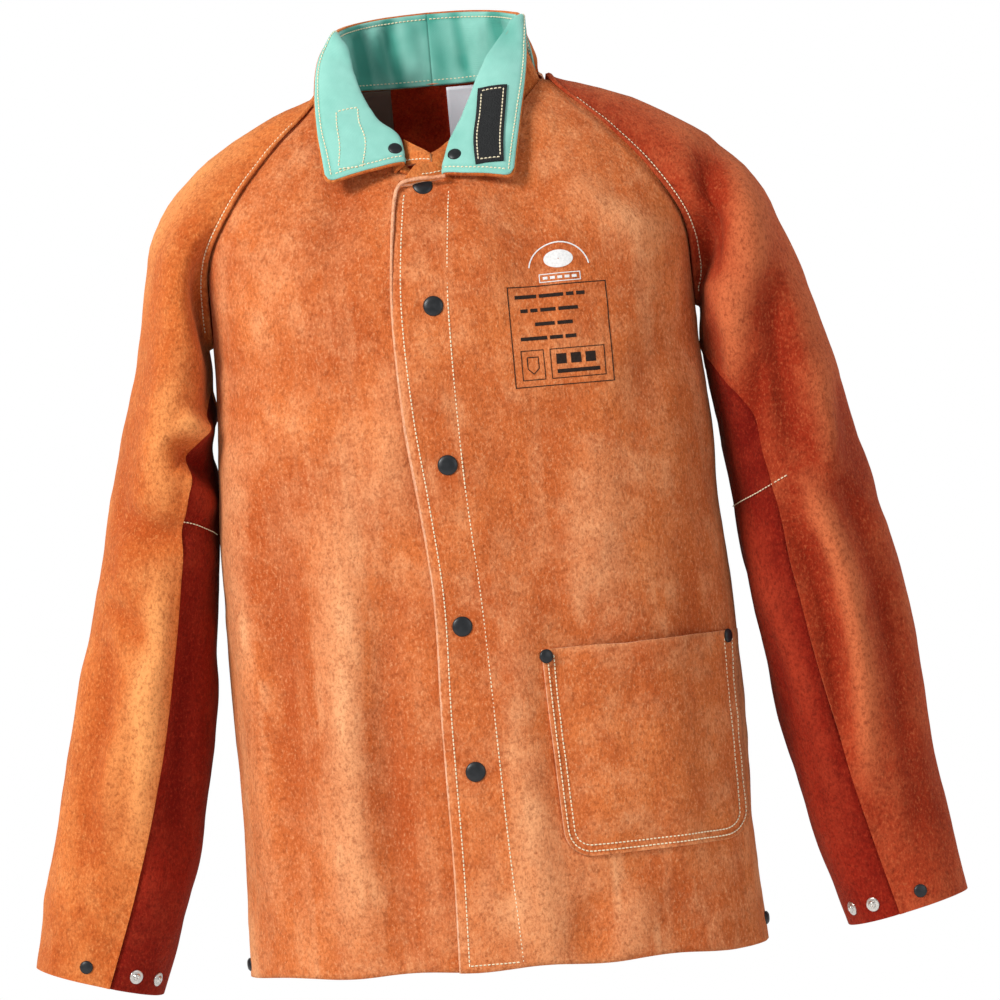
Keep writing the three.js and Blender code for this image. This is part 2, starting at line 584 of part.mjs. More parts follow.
/** Snaps of a cuff: one black cap and two steel studs on the front of the sleeve. */
function buildCuffSnaps(side) {
  const last = SLEEVE[side].length - 1;
  const place = last - CUFF_SNAPS.inset / sectionStep(side, last - 0.5);
  const cap = turned([
    [0, 0], [SMALL_CAP_RADIUS, 0], [SMALL_CAP_RADIUS, 0.9],
    [SMALL_CAP_RADIUS - 2, SMALL_CAP_HEIGHT - 0.4], [0, SMALL_CAP_HEIGHT],
  ]);
  const stud = turned([
    [0, 0], [SNAP_FLANGE_RADIUS, 0], [SNAP_FLANGE_RADIUS, 1], [3.4, 1.5], [2.6, 3.4], [0, 3.4],
  ]);
  const pieces = [
    [`${side}_cuff_cap`, cap, 'black', CUFF_SNAPS.cap],
    [`${side}_cuff_stud_1`, stud, 'steel', CUFF_SNAPS.studs[0]],
    [`${side}_cuff_stud_2`, stud, 'steel', CUFF_SNAPS.studs[1]],
  ];
  for (const [name, shape, colour, angle] of pieces) {
    const point = sleevePoint(side, place, angle);
    const turn = sleevePoint(side, place, angle + 0.02).sub(point);
    const down = sleevePoint(side, place + 0.02, angle).sub(point);
    const out = turn.cross(down).normalize();
    const core = sleeveSection(side, place);
    if (out.dot(point.clone().sub(core.outer.add(core.inner).multiplyScalar(0.5))) < 0) out.negate();
    add(name, shape, colour, 0.6, standing(point.addScaledVector(out, LAYER_GAP), out));
  }
}

// --- collar ---
/** Depth of the plane that the fallen collar lies in, at a drop below the neck seam. */
const collarLift = (drop) => COLLAR_PLANE.y + COLLAR_PLANE.slope * (COLLAR_PLANE.drop - drop);

/** Frame of the plane that a fallen collar tip lies in: x across, y up the slope, z out. */
function collarFrame() {
  const up = new THREE.Vector3(0, COLLAR_PLANE.slope, 1).normalize();
  const across = new THREE.Vector3(1, 0, 0);
  const out = new THREE.Vector3().crossVectors(across, up);
  const base = new THREE.Vector3(0, COLLAR_PLANE.y, below(COLLAR_PLANE.drop));
  const matrix = new THREE.Matrix4().makeBasis(across, up, out).setPosition(base);
  const stretch = Math.hypot(1, COLLAR_PLANE.slope);
  return { matrix, out, flat: ([x, drop]) => [x, (COLLAR_PLANE.drop - drop) * stretch] };
}

function buildCollar() {
  const stand = (u, v) => {
    const [from, to] = ['left', 'right'].map((side) => {
      const corner = collarLift(COLLAR_TIP[side][0][1]) + COLLAR_REACH[side];
      return Math.asin(corner / COLLAR_STAND_TOP.back);
    });
    const angle = from + (Math.PI - to - from) * u;
    const mix = (bottom, top) => bottom + (top - bottom) * v;
    const across = mix(along(FORM, NECK_SIDE_HEIGHT, 1), COLLAR_STAND_TOP.across);
    const back = mix(along(FORM, JACKET_LENGTH, 3), COLLAR_STAND_TOP.back);
    const rise = (NECK_SIDE_HEIGHT - JACKET_LENGTH) * (1 - Math.sin(angle));
    const foot = JACKET_LENGTH + SEAM_GAP + rise;
    return new THREE.Vector3(
      across * Math.cos(angle), back * Math.sin(angle), foot + COLLAR_STAND_HEIGHT * v);
  };
  const middle = (p) => new THREE.Vector3(0, 0, p.z);
  const shared = { across: 16, down: 1, facing: middle };
  add('collar_stand_leather', sheet(stand, { ...shared, layer: leatherLayer }), 'leather');
  add('collar_stand_lining', sheet(stand, {
    ...shared, layer: [-LEATHER - LAYER_GAP, -LEATHER - LAYER_GAP - COLLAR_CLOTH],
  }), 'mint');

  const { matrix, flat } = collarFrame();
  const plate = (points, thickness, lift) => {
    const shape = new THREE.Shape(points.map((p) => new THREE.Vector2(...flat(p))));
    const geometry = new THREE.ExtrudeGeometry(shape, { depth: thickness, bevelEnabled: false });
    return mergeVertices(geometry.deleteAttribute('normal').deleteAttribute('uv')
      .translate(0, 0, lift), 1e-3);
  };
  const patchShape = ([x, drop]) => {
    const [w, h] = [PATCH_WIDTH / 2, PATCH_LENGTH / 2 / Math.hypot(1, COLLAR_PLANE.slope)];
    return [[x - w, drop + h], [x + w, drop + h], [x + w, drop - h], [x - w, drop - h]];
  };
  const cap = turned([[0, 0], [5, 0], [5, 0.8], [3.4, 2], [0, 2.3]]);
  for (const side of ['left', 'right']) {
    add(`${side}_collar_leather`, plate(COLLAR_TIP[side], LEATHER, 0), 'leather', 0, matrix);
    add(`${side}_collar_lining`, plate(COLLAR_TIP[side], COLLAR_CLOTH, LEATHER + LAYER_GAP),
      'mint', 0, matrix);
    const top = LEATHER + 2 * LAYER_GAP + COLLAR_CLOTH;
    const front = side === 'left';
    const lift = front ? top : -LAYER_GAP - PATCH_THICKNESS;
    add(front ? 'hook_patch' : 'loop_patch',
      plate(patchShape(COLLAR_PATCH[side]), PATCH_THICKNESS, lift), 'black', 0, matrix);
    const spot = new THREE.Vector3(...flat(COLLAR_SNAP[side]), top).applyMatrix4(matrix);
    const { out } = collarFrame();
    add(`${side}_collar_snap`, cap, 'black', 0.3, standing(spot, out));
  }
}

// --- hem adjusting snaps at the sides ---
function buildHemSnaps() {
  const cap = turned([[0, 0], [SMALL_CAP_RADIUS, 0], [SMALL_CAP_RADIUS, 0.9], [4, 2.2], [0, 2.6]]);
  for (const side of ['left', 'right']) {
    const sign = side === 'left' ? 1 : -1;
    const turn = sign * (Math.PI / 2 - HEM_SNAP.turn);
    const point = formPoint(turn, HEM_SNAP.height, false);
    const around = formPoint(turn + 0.01 * sign, HEM_SNAP.height, false).sub(point);
    const out = around.cross(new THREE.Vector3(0, 0, 1)).normalize();
    if (out.x * sign < 0) out.negate();
    add(`${side}_hem_snap`, cap, 'black', 0.3, standing(point.addScaledVector(out, HEM_SNAP.lift), out));
  }
}

buildBack();
buildFronts();
buildPocket();
for (const side of ['left', 'right']) {
  buildSleeve(side);
  buildCuffSnaps(side);
}
buildCollar();
buildHemSnaps();

export default jacket;
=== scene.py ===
"""Leather welding jacket: its leather, linings, thread and snaps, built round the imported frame.

Shapes are worked out in millimetres, with heights above the hem, and each mesh is then set
into the frame, in metres, with the back neck seam at height nought.
"""
import logging
import math
from dataclasses import dataclass, field
from enum import Enum
from typing import Iterable, Sequence

import bpy
import numpy as np
from mathutils import Matrix, Vector


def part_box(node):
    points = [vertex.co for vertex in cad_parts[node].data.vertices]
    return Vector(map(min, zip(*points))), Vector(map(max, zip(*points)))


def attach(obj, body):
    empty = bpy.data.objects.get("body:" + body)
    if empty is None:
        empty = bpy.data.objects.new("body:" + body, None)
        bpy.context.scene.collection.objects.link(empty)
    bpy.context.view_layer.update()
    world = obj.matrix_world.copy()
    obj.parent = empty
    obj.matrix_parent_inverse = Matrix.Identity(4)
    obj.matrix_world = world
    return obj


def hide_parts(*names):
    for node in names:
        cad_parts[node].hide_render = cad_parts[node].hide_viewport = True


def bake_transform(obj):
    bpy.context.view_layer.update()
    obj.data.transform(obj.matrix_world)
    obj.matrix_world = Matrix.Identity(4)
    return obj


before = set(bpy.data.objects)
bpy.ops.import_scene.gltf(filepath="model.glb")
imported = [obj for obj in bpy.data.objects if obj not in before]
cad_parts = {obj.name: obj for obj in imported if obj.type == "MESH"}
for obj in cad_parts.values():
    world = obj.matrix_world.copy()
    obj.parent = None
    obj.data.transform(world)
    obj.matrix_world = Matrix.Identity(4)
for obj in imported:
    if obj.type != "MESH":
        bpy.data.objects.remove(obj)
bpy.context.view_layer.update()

log = logging.getLogger("jacket")

JACKET_LENGTH = -1000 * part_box("back_panel")[0].z
LEATHER = 2.2
MILLIMETRE = 0.001

Array = np.ndarray
Pair = tuple[float, float]


# ---------- small mathematics ----------
def smoothstep(value: Array, low: float, high: float) -> Array:
    """Rises smoothly from 0 at low to 1 at high."""
    t = np.clip((np.asarray(value, float) - low) / (high - low), 0, 1)
    return t * t * (3 - 2 * t)


def power(value: Array, exponent: float) -> Array:
    """Power that keeps the sign of its base."""
    return np.sign(value) * np.abs(value) ** exponent


def hermite(t: Array, start: Array, leave: Array, end: Array, arrive: Array) -> Array:
    """Smooth curve from start to end, with the slopes that it leaves and arrives with."""
    t2, t3 = t * t, t * t * t
    return (
        (2 * t3 - 3 * t2 + 1) * start + (t3 - 2 * t2 + t) * leave
        + (3 * t2 - 2 * t3) * end + (t3 - t2) * arrive
    )


def along(table: Sequence[Sequence[float]], place: Array) -> Array:
    """Smooth curve through a table whose first column is the place.

    Args:
        table: Rows of a place and one or more values.
        place: Places to read the curve at.

    Returns:
        The values, in one more dimension than place has.
    """
    rows = np.asarray(table, float)
    x, y = rows[:, 0], rows[:, 1:]
    slope = np.empty_like(y)
    slope[1:-1] = (y[2:] - y[:-2]) / (x[2:] - x[:-2])[:, None]
    slope[0], slope[-1] = (y[1] - y[0]) / (x[1] - x[0]), (y[-1] - y[-2]) / (x[-1] - x[-2])
    place = np.asarray(place, float)
    k = np.clip(np.searchsorted(x, place) - 1, 0, len(x) - 2)
    span = (x[k + 1] - x[k])[..., None]
    t = ((place - x[k]) / span[..., 0])[..., None]
    return hermite(t, y[k], span * slope[k], y[k + 1], span * slope[k + 1])


def unit(vectors: Array) -> Array:
    """Vectors scaled to length 1."""
    return vectors / np.maximum(np.linalg.norm(vectors, axis=-1, keepdims=True), 1e-9)


def grid_normals(points: Array, ring: bool = False) -> Array:
    """Unit normals of a grid of points, by columns crossed with rows.

    Args:
        points: Grid of shape (rows, columns, 3).
        ring: Whether the last column meets the first.

    Returns:
        One normal for each point.
    """
    if ring:
        wide = np.concatenate([points[:, -1:], points, points[:, :1]], axis=1)
        across = (wide[:, 2:] - wide[:, :-2]) / 2
    else:
        across = np.gradient(points, axis=1)
    return unit(np.cross(across, np.gradient(points, axis=0)))


def facing(normals: Array, axis: int, way: float) -> Array:
    """The same directions, turned over as a whole if they don't face the wanted way."""
    return normals * np.sign(normals[..., axis].mean() * way)


class Grain:
    """Smooth noise in space that is the same on every run."""

    SIZE = 48

    def __init__(self, seed: int) -> None:
        """Fills the lattice from the seed."""
        self.lattice = np.random.default_rng(seed).uniform(-1, 1, (self.SIZE,) * 3)

    def __call__(self, points: Array, scale: Sequence[float]) -> Array:
        """Noise from -1 to 1 at the points, with lumps of the given size along each axis."""
        p = np.asarray(points, float) / np.asarray(scale, float)
        cell = np.floor(p).astype(int)
        t = p - cell
        t = t * t * t * (t * (6 * t - 15) + 10)
        total = np.zeros(p.shape[:-1])
        for dx in (0, 1):
            for dy in (0, 1):
                for dz in (0, 1):
                    weight = (
                        (t[..., 0] if dx else 1 - t[..., 0])
                        * (t[..., 1] if dy else 1 - t[..., 1])
                        * (t[..., 2] if dz else 1 - t[..., 2])
                    )
                    corner = (cell + (dx, dy, dz)) % self.SIZE
                    total += weight * self.lattice[corner[..., 0], corner[..., 1], corner[..., 2]]
        return total


@dataclass(frozen=True)
class Fold:
    """A soft ridge or hollow of the leather, seen from the front or from the back.

    Attributes:
        path: Points of its crest, as x and height.
        rise: Height of the crest above the leather, below nought for a hollow.
        width: Half width of its profile on the left of the path.
        right: Half width on the right, where it differs.
    """

    path: tuple[Pair, ...]
    rise: float
    width: float
    right: float = 0.0

    def lift(self, x: Array, height: Array) -> Array:
        """Height of this fold at each x and height."""
        steps = np.linspace(0, len(self.path) - 1, 8 * (len(self.path) - 1) + 1)
        line = along([(i, *p) for i, p in enumerate(self.path)], steps)
        start, run = line[:-1], np.diff(line, axis=0)
        p = np.stack([x, height], axis=-1)[..., None, :] - start
        t = np.clip((p * run).sum(-1) / (run * run).sum(-1), 0, 1)
        away = p - t[..., None] * run
        distance = np.linalg.norm(away, axis=-1)
        near = distance.argmin(axis=-1)[..., None]
        pick = lambda values: np.take_along_axis(values, near, axis=-1)[..., 0]
        share = (near[..., 0] + pick(t)) / len(run)
        side = pick(away[..., 0] * run[:, 1] - away[..., 1] * run[:, 0])
        width = np.where(side > 0, self.right or self.width, self.width)
        taper = np.sin(math.pi * np.clip(share, 0, 1)) ** 0.7
        return self.rise * taper * np.exp(-((pick(distance) / width) ** 2))


def lift_of(folds: Iterable[Fold], x: Array, height: Array) -> Array:
    """Sum of several folds."""
    total = np.zeros_like(np.asarray(x, float))
    for fold in folds:
        total += fold.lift(x, height)
    return total


# ---------- meshes ----------
def to_frame(points: Array) -> Array:
    """Points in millimetres above the hem, as metres in the frame."""
    return (np.asarray(points, float) - (0, 0, JACKET_LENGTH)) * MILLIMETRE


def spot_in_frame(x: float, y: float, height: float) -> tuple[float, float, float]:
    """One point in millimetres above the hem, as metres in the frame."""
    return tuple(float(v) for v in to_frame((x, y, height)))


class Layer(Enum):
    """The faces of a sheet, in the order of its materials."""

    OUTER = 0
    INNER = 1
    EDGE = 2


def mesh_object(
    name: str, points: Array, faces: Sequence[Sequence[int]], layers: Array | None = None,
    wear_and_painted_light: Array | None = None, smooth: Array | bool = True,
) -> bpy.types.Object:
    """Makes a mesh object from points in millimetres above the hem.

    Args:
        name: Name of the object.
        points: Points, one a row.
        faces: Point numbers of each face.
        layers: Material number of each face, or None for all nought.
        wear_and_painted_light: How much each point is lightened by rubbed wear and painted light,
            or darkened by painted shade, from -1 to 1.
        smooth: Whether each face is shaded smooth.

    Returns:
        The object, linked to the scene.
    """
    mesh = bpy.data.meshes.new(name)
    mesh.from_pydata(to_frame(points).tolist(), [], [list(map(int, f)) for f in faces])
    count = len(mesh.polygons)
    if layers is not None:
        mesh.polygons.foreach_set("material_index", np.asarray(layers, np.int32))
    mesh.polygons.foreach_set("use_smooth", np.broadcast_to(smooth, count).astype(bool))
    # Point layer of rubbed wear and painted light above nought, and painted shade below nought.
    wear_and_light = mesh.attributes.new("wear_and_painted_light", "FLOAT", "POINT")
    values = np.zeros(len(mesh.vertices)) if wear_and_painted_light is None else np.asarray(wear_and_painted_light, float)
    wear_and_light.data.foreach_set("value", values.astype(np.float32))
    mesh.update()
    made = bpy.data.objects.new(name, mesh)
    bpy.context.scene.collection.objects.link(made)
    return made


def sheet_faces(rows: int, columns: int, ring: bool) -> tuple[Array, Array]:
    """Faces of a grid of points, and of the rim that joins it to a second grid below it."""
    total = rows * columns
    index = np.arange(total).reshape(rows, columns)
    if ring:
        index = np.concatenate([index, index[:, :1]], axis=1)
    corners = index[:-1, :-1], index[:-1, 1:], index[1:, 1:], index[1:, :-1]
    edges = [
        np.stack([index[0, :-1], index[0, 1:]], -1)[:, ::-1],
        np.stack([index[-1, :-1], index[-1, 1:]], -1),
    ]
    if not ring:
        edges.append(np.stack([index[:-1, 0], index[1:, 0]], -1))
        edges.append(np.stack([index[:-1, -1], index[1:, -1]], -1)[:, ::-1])
    edge = np.concatenate(edges)
    rim = np.stack([edge[:, 0], edge[:, 0] + total, edge[:, 1] + total, edge[:, 1]], -1)
    return np.stack(corners, axis=-1).reshape(-1, 4), rim[:, ::-1]


def sheet_object(
    name: str, outer: Array, inner: Array, ring: bool = False, wear_and_painted_light: Array | None = None,
    normals: Array | None = None,
) -> bpy.types.Object:
    """Makes a closed sheet between an outer and an inner grid of points.

    Args:
        name: Name of the object.
        outer: Grid of the outer face, of shape (rows, columns, 3).
        inner: Grid of the inner face.
        ring: Whether the last column meets the first.
        wear_and_painted_light: How much each outer point is lightened by rubbed wear and painted
            light, or darkened by painted shade.
        normals: Directions that the outer face is shaded with, or None for its own.

    Returns:
        The object, its faces numbered by Layer.
    """
    flat, under = outer.reshape(-1, 3), inner.reshape(-1, 3)
    quads, rim = sheet_faces(*outer.shape[:2], ring)
    total = len(flat)
    faces = np.concatenate([quads, quads[:, ::-1] + total, rim])
    middle = len(quads) // 2 + (outer.shape[1] - (not ring)) // 2
    q = flat[quads[middle]]
    if np.cross(q[1] - q[0], q[3] - q[0]) @ (flat - under)[quads[middle][0]] < 0:
        faces = faces[:, ::-1]
    layers = np.repeat(
        [Layer.OUTER.value, Layer.INNER.value, Layer.EDGE.value],
        [len(quads), len(quads), len(rim)],
    )
    points = np.concatenate([flat, under])
    wear_and_light = None
    if wear_and_painted_light is not None:
        wear_and_light = np.concatenate([wear_and_painted_light.reshape(-1), np.zeros(total)])
    made = mesh_object(name, points, faces, layers, wear_and_light, layers < Layer.EDGE.value)
    if normals is not None:
        outward = normals.reshape(-1, 3)
        loops = np.zeros((len(faces) * 4, 3))
        corner = faces[: len(quads)].reshape(-1)
        loops[: len(corner)] = outward[corner]
        made.data.normals_split_custom_set(loops.tolist())
    return made


def lathe_points(profile: Sequence[Pair], segments: int) -> tuple[Array, list[list[int]]]:
    """Points and faces of a turned piece about the Z axis, closed at both ends."""
    angle = np.linspace(0, 2 * math.pi, segments, endpoint=False)
    rings = [(r, h) for r, h in profile if r > 0]
    points = [(r * math.cos(a), r * math.sin(a), h) for r, h in rings for a in angle]
    faces: list[list[int]] = []
    for k in range(len(rings) - 1):
        for i in range(segments):
            j = (i + 1) % segments
            faces.append([k * segments + i, k * segments + j,
                          (k + 1) * segments + j, (k + 1) * segments + i])
    base, top = len(points), len(points) + 1
    points += [(0, 0, profile[0][1]), (0, 0, profile[-1][1])]
    last = (len(rings) - 1) * segments
    for i in range(segments):
        j = (i + 1) % segments
        faces.append([base, j, i])
        faces.append([top, last + i, last + j])
    return np.array(points, float), faces


def standing(points: Array, spot: Array, out: Array) -> Array:
    """Points of a piece made along Z, stood on a spot along a direction."""
    z = unit(np.asarray(out, float))
    x = unit(np.cross((0, 0, 1) if abs(z[2]) < 0.9 else (0, 1, 0), z))
    return points @ np.stack([x, np.cross(z, x), z]) + spot


def turned_object(
    name: str, profile: Sequence[Pair], spot: Array, out: Array, segments: int = 40,
) -> bpy.types.Object:
    """A turned piece from a half outline of radius and height, stood on a spot."""
    points, faces = lathe_points(profile, segments)
    made = mesh_object(name, standing(points, spot, out), faces)
    bevel = made.modifiers.new("soft edges", "BEVEL")
    bevel.width, bevel.segments, bevel.limit_method = 0.25 * MILLIMETRE, 2, "ANGLE"
    return made


@dataclass
class Thread:
    """Rows of sewing thread, gathered into one piece.

    Attributes:
        pitch: Distance from one stitch to the next.
        length: Length of the thread that shows.
        radius: Half thickness of the thread.
    """

    pitch: float = 3.7
    length: float = 2.9
    radius: float = 0.6
    points: list[Array] = field(default_factory=list)

    SIDES = 6

    def sew(self, line: Array, normals: Array) -> None:
        """Adds a row of stitches along a line that lies on the leather.

        Args:
            line: Points of the line.
            normals: Outward direction at each point.
        """
        step = np.linalg.norm(np.diff(line, axis=0), axis=1)
        place = np.concatenate([[0], np.cumsum(step)])
        centre = np.arange(self.pitch / 2, place[-1] - self.pitch / 2, self.pitch)
        if not len(centre):
            return
        read = lambda s, v: np.stack([np.interp(s, place, v[:, k]) for k in range(3)], -1)
        p, n = read(centre, line), unit(read(centre, normals))
        ahead = unit(read(centre + self.pitch / 2, line) - read(centre - self.pitch / 2, line))
        side = unit(np.cross(n, ahead))
        angle = np.linspace(0, 2 * math.pi, self.SIDES, endpoint=False)
        rings = []
        for share, size, sink in ((-1, 0.45, -0.45), (-0.7, 0.95, 0.0), (0, 1.05, 0.22),
                                  (0.7, 0.95, 0.0), (1, 0.45, -0.45)):
            middle = p + ahead * (share * self.length / 2) + n * (sink + 0.15)
            for a in angle:
                rings.append(middle + self.radius * size * (side * math.cos(a) + n * math.sin(a)))
        self.points.append(np.stack(rings, axis=1))

    def complete(self, name: str, motion: "Motion") -> None:
        """Makes the piece that holds every row sewn so far, dresses it, bakes its transform and
        logs it.
        """
        stitches = np.concatenate(self.points)
        n, rings = self.SIDES, 5
        faces = []
        for k in range(rings - 1):
            for i in range(n):
                j = (i + 1) % n
                faces.append([k * n + i, k * n + j, (k + 1) * n + j, (k + 1) * n + i])
        ends = [[*range(n)][::-1], [(rings - 1) * n + i for i in range(n)]]
        size = rings * n
        offset = np.arange(len(stitches)) * size
        sides = (np.array(faces)[None] + offset[:, None, None]).reshape(-1, 4).tolist()
        caps = (np.array(ends)[None] + offset[:, None, None]).reshape(-1, n).tolist()
        made = mesh_object(name, stitches.reshape(-1, 3), sides + caps)
        complete(made, (THREAD,), motion, None)


# ---------- finishes ----------
class Nodes:
    """Short way of building one material's shader."""

    def __init__(self, name: str) -> None:
        """Starts a material with an empty tree, a shader and its output."""
        self.material = bpy.data.materials.new(name)
        self.material.use_nodes = True
        self.tree = self.material.node_tree
        self.tree.nodes.clear()
        self.output = self.add("ShaderNodeOutputMaterial")
        self.shader = self.add("ShaderNodeBsdfPrincipled")
        self.link(self.shader.outputs[0], self.output.inputs[0])
        self.space = self.add("ShaderNodeTexCoord").outputs["Object"]

    def add(self, kind: str, **values: object) -> bpy.types.Node:
        """Adds a node and sets its own values."""
        node = self.tree.nodes.new(kind)
        for key, value in values.items():
            setattr(node, key, value)
        return node

    def link(self, source: bpy.types.NodeSocket, target: bpy.types.NodeSocket) -> None:
        """Links two sockets."""
        self.tree.links.new(source, target)

    def noise(
        self, scale: float, detail: float = 2.0, rough: float = 0.5,
        stretch: tuple[float, float, float] | None = None,
    ) -> bpy.types.NodeSocket:
        """Noise from 0 to 1 in the object's space, with a stretch for each axis."""
        texture = self.add("ShaderNodeTexNoise")
        texture.inputs["Scale"].default_value = scale
        texture.inputs["Detail"].default_value = detail
        texture.inputs["Roughness"].default_value = rough
        source = self.space
        if stretch:
            mapping = self.add("ShaderNodeMapping")
            mapping.inputs["Scale"].default_value = stretch
            self.link(source, mapping.inputs["Vector"])
            source = mapping.outputs[0]
        self.link(source, texture.inputs["Vector"])
        return texture.outputs["Fac"]

    def ramp(
        self, value: bpy.types.NodeSocket, low: float, high: float,
        to_low: float = 0.0, to_high: float = 1.0,
    ) -> bpy.types.NodeSocket:
        """Maps a value from one range to another, held at its ends."""
        node = self.add("ShaderNodeMapRange")
        for socket, number in zip(node.inputs[1:5], (low, high, to_low, to_high)):
            socket.default_value = number
        self.link(value, node.inputs[0])
        return node.outputs[0]

    def mix(
        self, share: bpy.types.NodeSocket, first: object, second: object, how: str = "MIX",
    ) -> bpy.types.NodeSocket:
        """Mixes two colours, each a socket or red, green and blue."""
        node = self.add("ShaderNodeMix", data_type="RGBA", blend_type=how)
        self.link(share, node.inputs["Factor"])
        for socket, colour in ((node.inputs[6], first), (node.inputs[7], second)):
            if isinstance(colour, tuple):
                socket.default_value = (*colour, 1)
            else:
                self.link(colour, socket)
        return node.outputs[2]

    def sum(self, first: bpy.types.NodeSocket, second: bpy.types.NodeSocket,
            how: str = "ADD") -> bpy.types.NodeSocket:
        """Adds two values, or combines them another way."""
        node = self.add("ShaderNodeMath", operation=how)
        self.link(first, node.inputs[0])
        self.link(second, node.inputs[1])
        return node.outputs[0]

    def bump(self, heights: Sequence[tuple[bpy.types.NodeSocket, float, float]]) -> None:
        """Bumps the surface by each height, with a strength and a distance in metres."""
        normal = None
        for height, strength, distance in heights:
            node = self.add("ShaderNodeBump")
            node.inputs["Strength"].default_value = strength
            node.inputs["Distance"].default_value = distance
            self.link(height, node.inputs["Height"])
            if normal:
                self.link(normal, node.inputs["Normal"])
            normal = node.outputs[0]
        self.link(normal, self.shader.inputs["Normal"])

    def set(self, **values: object) -> None:
        """Sets the shader's sockets by name, with _ for a space."""
        for key, value in values.items():
            self.shader.inputs[key.replace("_", " ")].default_value = value


@dataclass(frozen=True)
class Suede:
    """Napped split leather.

    Attributes:
        name: Name of the material.
        base: Colour of the nap.
        deep: Darker tone of the nap, also painted into fold hollows, grooves, seams and snap
            dimples as shade.
        pale: Colour where it is rubbed, also painted onto fold crests and lit edges as light.
        streaks: How strongly pale streaks run down it.
        sheen: How much light its nap catches at a slant.
    """

    name: str
    base: tuple[float, float, float]
    deep: tuple[float, float, float]
    pale: tuple[float, float, float]
    streaks: float = 0.35
    sheen: float = 0.28

    def material(self) -> bpy.types.Material:
        """Builds the nap's colour, fibres and bumps."""
        n = Nodes(self.name)
        cloud = n.ramp(n.noise(9, 4, 0.6), 0.36, 0.64)
        colour = n.mix(n.ramp(cloud, 0, 1, 0.0, 0.75), self.base, self.deep)
        mottle = n.ramp(n.noise(30, 5, 0.66), 0.46, 0.74, 0, 0.46)
        colour = n.mix(mottle, colour, self.pale)
        patch = n.ramp(n.noise(22, 4, 0.65, (1.6, 1.6, 0.7)), 0.5, 0.32, 0, 0.5)
        colour = n.mix(patch, colour, self.deep)
        streak = n.ramp(n.noise(13, 3, 0.6, (2.6, 2.6, 0.34)), 0.54, 0.78, 0, self.streaks)
        colour = n.mix(streak, colour, self.pale)
        # Point attribute read here: above nought it blends toward the pale colour for rubbed wear
        # and painted highlights, below nought toward the deep colour for painted shade.
        wear_and_painted_light = n.add("ShaderNodeAttribute", attribute_name="wear_and_painted_light").outputs["Fac"]
        colour = n.mix(n.ramp(wear_and_painted_light, 0, 1, 0, 0.85), colour, self.pale)
        colour = n.mix(n.ramp(wear_and_painted_light, 0, -1, 0, 0.9), colour, self.deep)
        fibre = n.noise(480, 3, 0.7, (1.0, 1.0, 0.62))
        tuft = n.noise(190, 4, 0.7)
        dark = tuple(0.5 * c for c in self.deep)
        colour = n.mix(n.ramp(tuft, 0.5, 0.34, 0, 0.42), colour, dark)
        colour = n.mix(n.ramp(fibre, 0.5, 0.26, 0, 0.6), colour, dark)
        colour = n.mix(n.ramp(fibre, 0.54, 0.74, 0, 0.55), colour, self.pale)
        n.link(colour, n.shader.inputs["Base Color"])
        n.set(Roughness=0.93, Sheen_Weight=self.sheen, Sheen_Roughness=0.45,
              Sheen_Tint=(1.0, 0.55, 0.28, 1), Specular_IOR_Level=0.08)
        n.bump([(n.noise(48, 3, 0.6), 0.45, 0.005), (tuft, 0.6, 0.0020), (fibre, 0.8, 0.0011)])
        return n.material


@dataclass(frozen=True)
class Cloth:
    """Woven cotton or satin.

    Attributes:
        name: Name of the material.
        base: Colour of the yarn.
        deep: Colour between the yarns, also painted into creases as shade.
        pitch: Yarns to the metre.
        roughness: How dull the cloth is.
        sheen: How much its nap shines.
    """

    name: str
    base: tuple[float, float, float]
    deep: tuple[float, float, float]
    pitch: float = 2400.0
    roughness: float = 0.85
    sheen: float = 0.15

    def material(self) -> bpy.types.Material:
        """Builds the twill weave."""
        n = Nodes(self.name)
        cloud = n.ramp(n.noise(24, 3, 0.6), 0.3, 0.7, 0, 0.28)
        colour = n.mix(cloud, self.base, self.deep)
        wear_and_painted_light = n.add("ShaderNodeAttribute", attribute_name="wear_and_painted_light").outputs["Fac"]
        # Painted shade: below nought the point attribute darkens the cloth toward the deep colour
        # in creases, along the stitching and over the collar's standing part.
        colour = n.mix(n.ramp(wear_and_painted_light, 0, -1, 0, 0.8), colour, self.deep)
        twill = n.add("ShaderNodeTexWave", wave_type="BANDS", bands_direction="DIAGONAL")
        twill.inputs["Scale"].default_value = self.pitch / 8
        twill.inputs["Distortion"].default_value = 1.2
        twill.inputs["Detail Scale"].default_value = 3
        n.link(n.space, twill.inputs["Vector"])
        colour = n.mix(n.ramp(twill.outputs["Fac"], 0.45, 0.0, 0, 0.10), colour, self.deep)
        n.link(colour, n.shader.inputs["Base Color"])
        n.set(Roughness=self.roughness, Sheen_Weight=self.sheen, Specular_IOR_Level=0.25)
        n.bump([(n.noise(70, 2, 0.5), 0.2, 0.002), (twill.outputs["Fac"], 0.25, 0.0003)])
        return n.material


@dataclass(frozen=True)
class Tape:
    """Hook tape: a dense field of tiny black loops and hooks."""

    name: str
    base: tuple[float, float, float]

    def material(self) -> bpy.types.Material:
        """Builds the field of hooks."""
        n = Nodes(self.name)
        hooks = n.add("ShaderNodeTexVoronoi")
        hooks.inputs["Scale"].default_value = 900
        n.link(n.space, hooks.inputs["Vector"])
        fuzz = n.noise(600, 2, 0.6)
        shade = n.ramp(hooks.outputs["Distance"], 0.0, 0.7, 0.6, 0.0)
        lit = tuple(min(1.0, 3.2 * c + 0.012) for c in self.base)
        n.link(n.mix(n.sum(shade, fuzz, "MULTIPLY"), self.base, lit), n.shader.inputs["Base Color"])
        n.set(Roughness=0.8, Specular_IOR_Level=0.3)
        n.bump([(fuzz, 0.6, 0.0008), (hooks.outputs["Distance"], 0.8, 0.0007)])
        return n.material


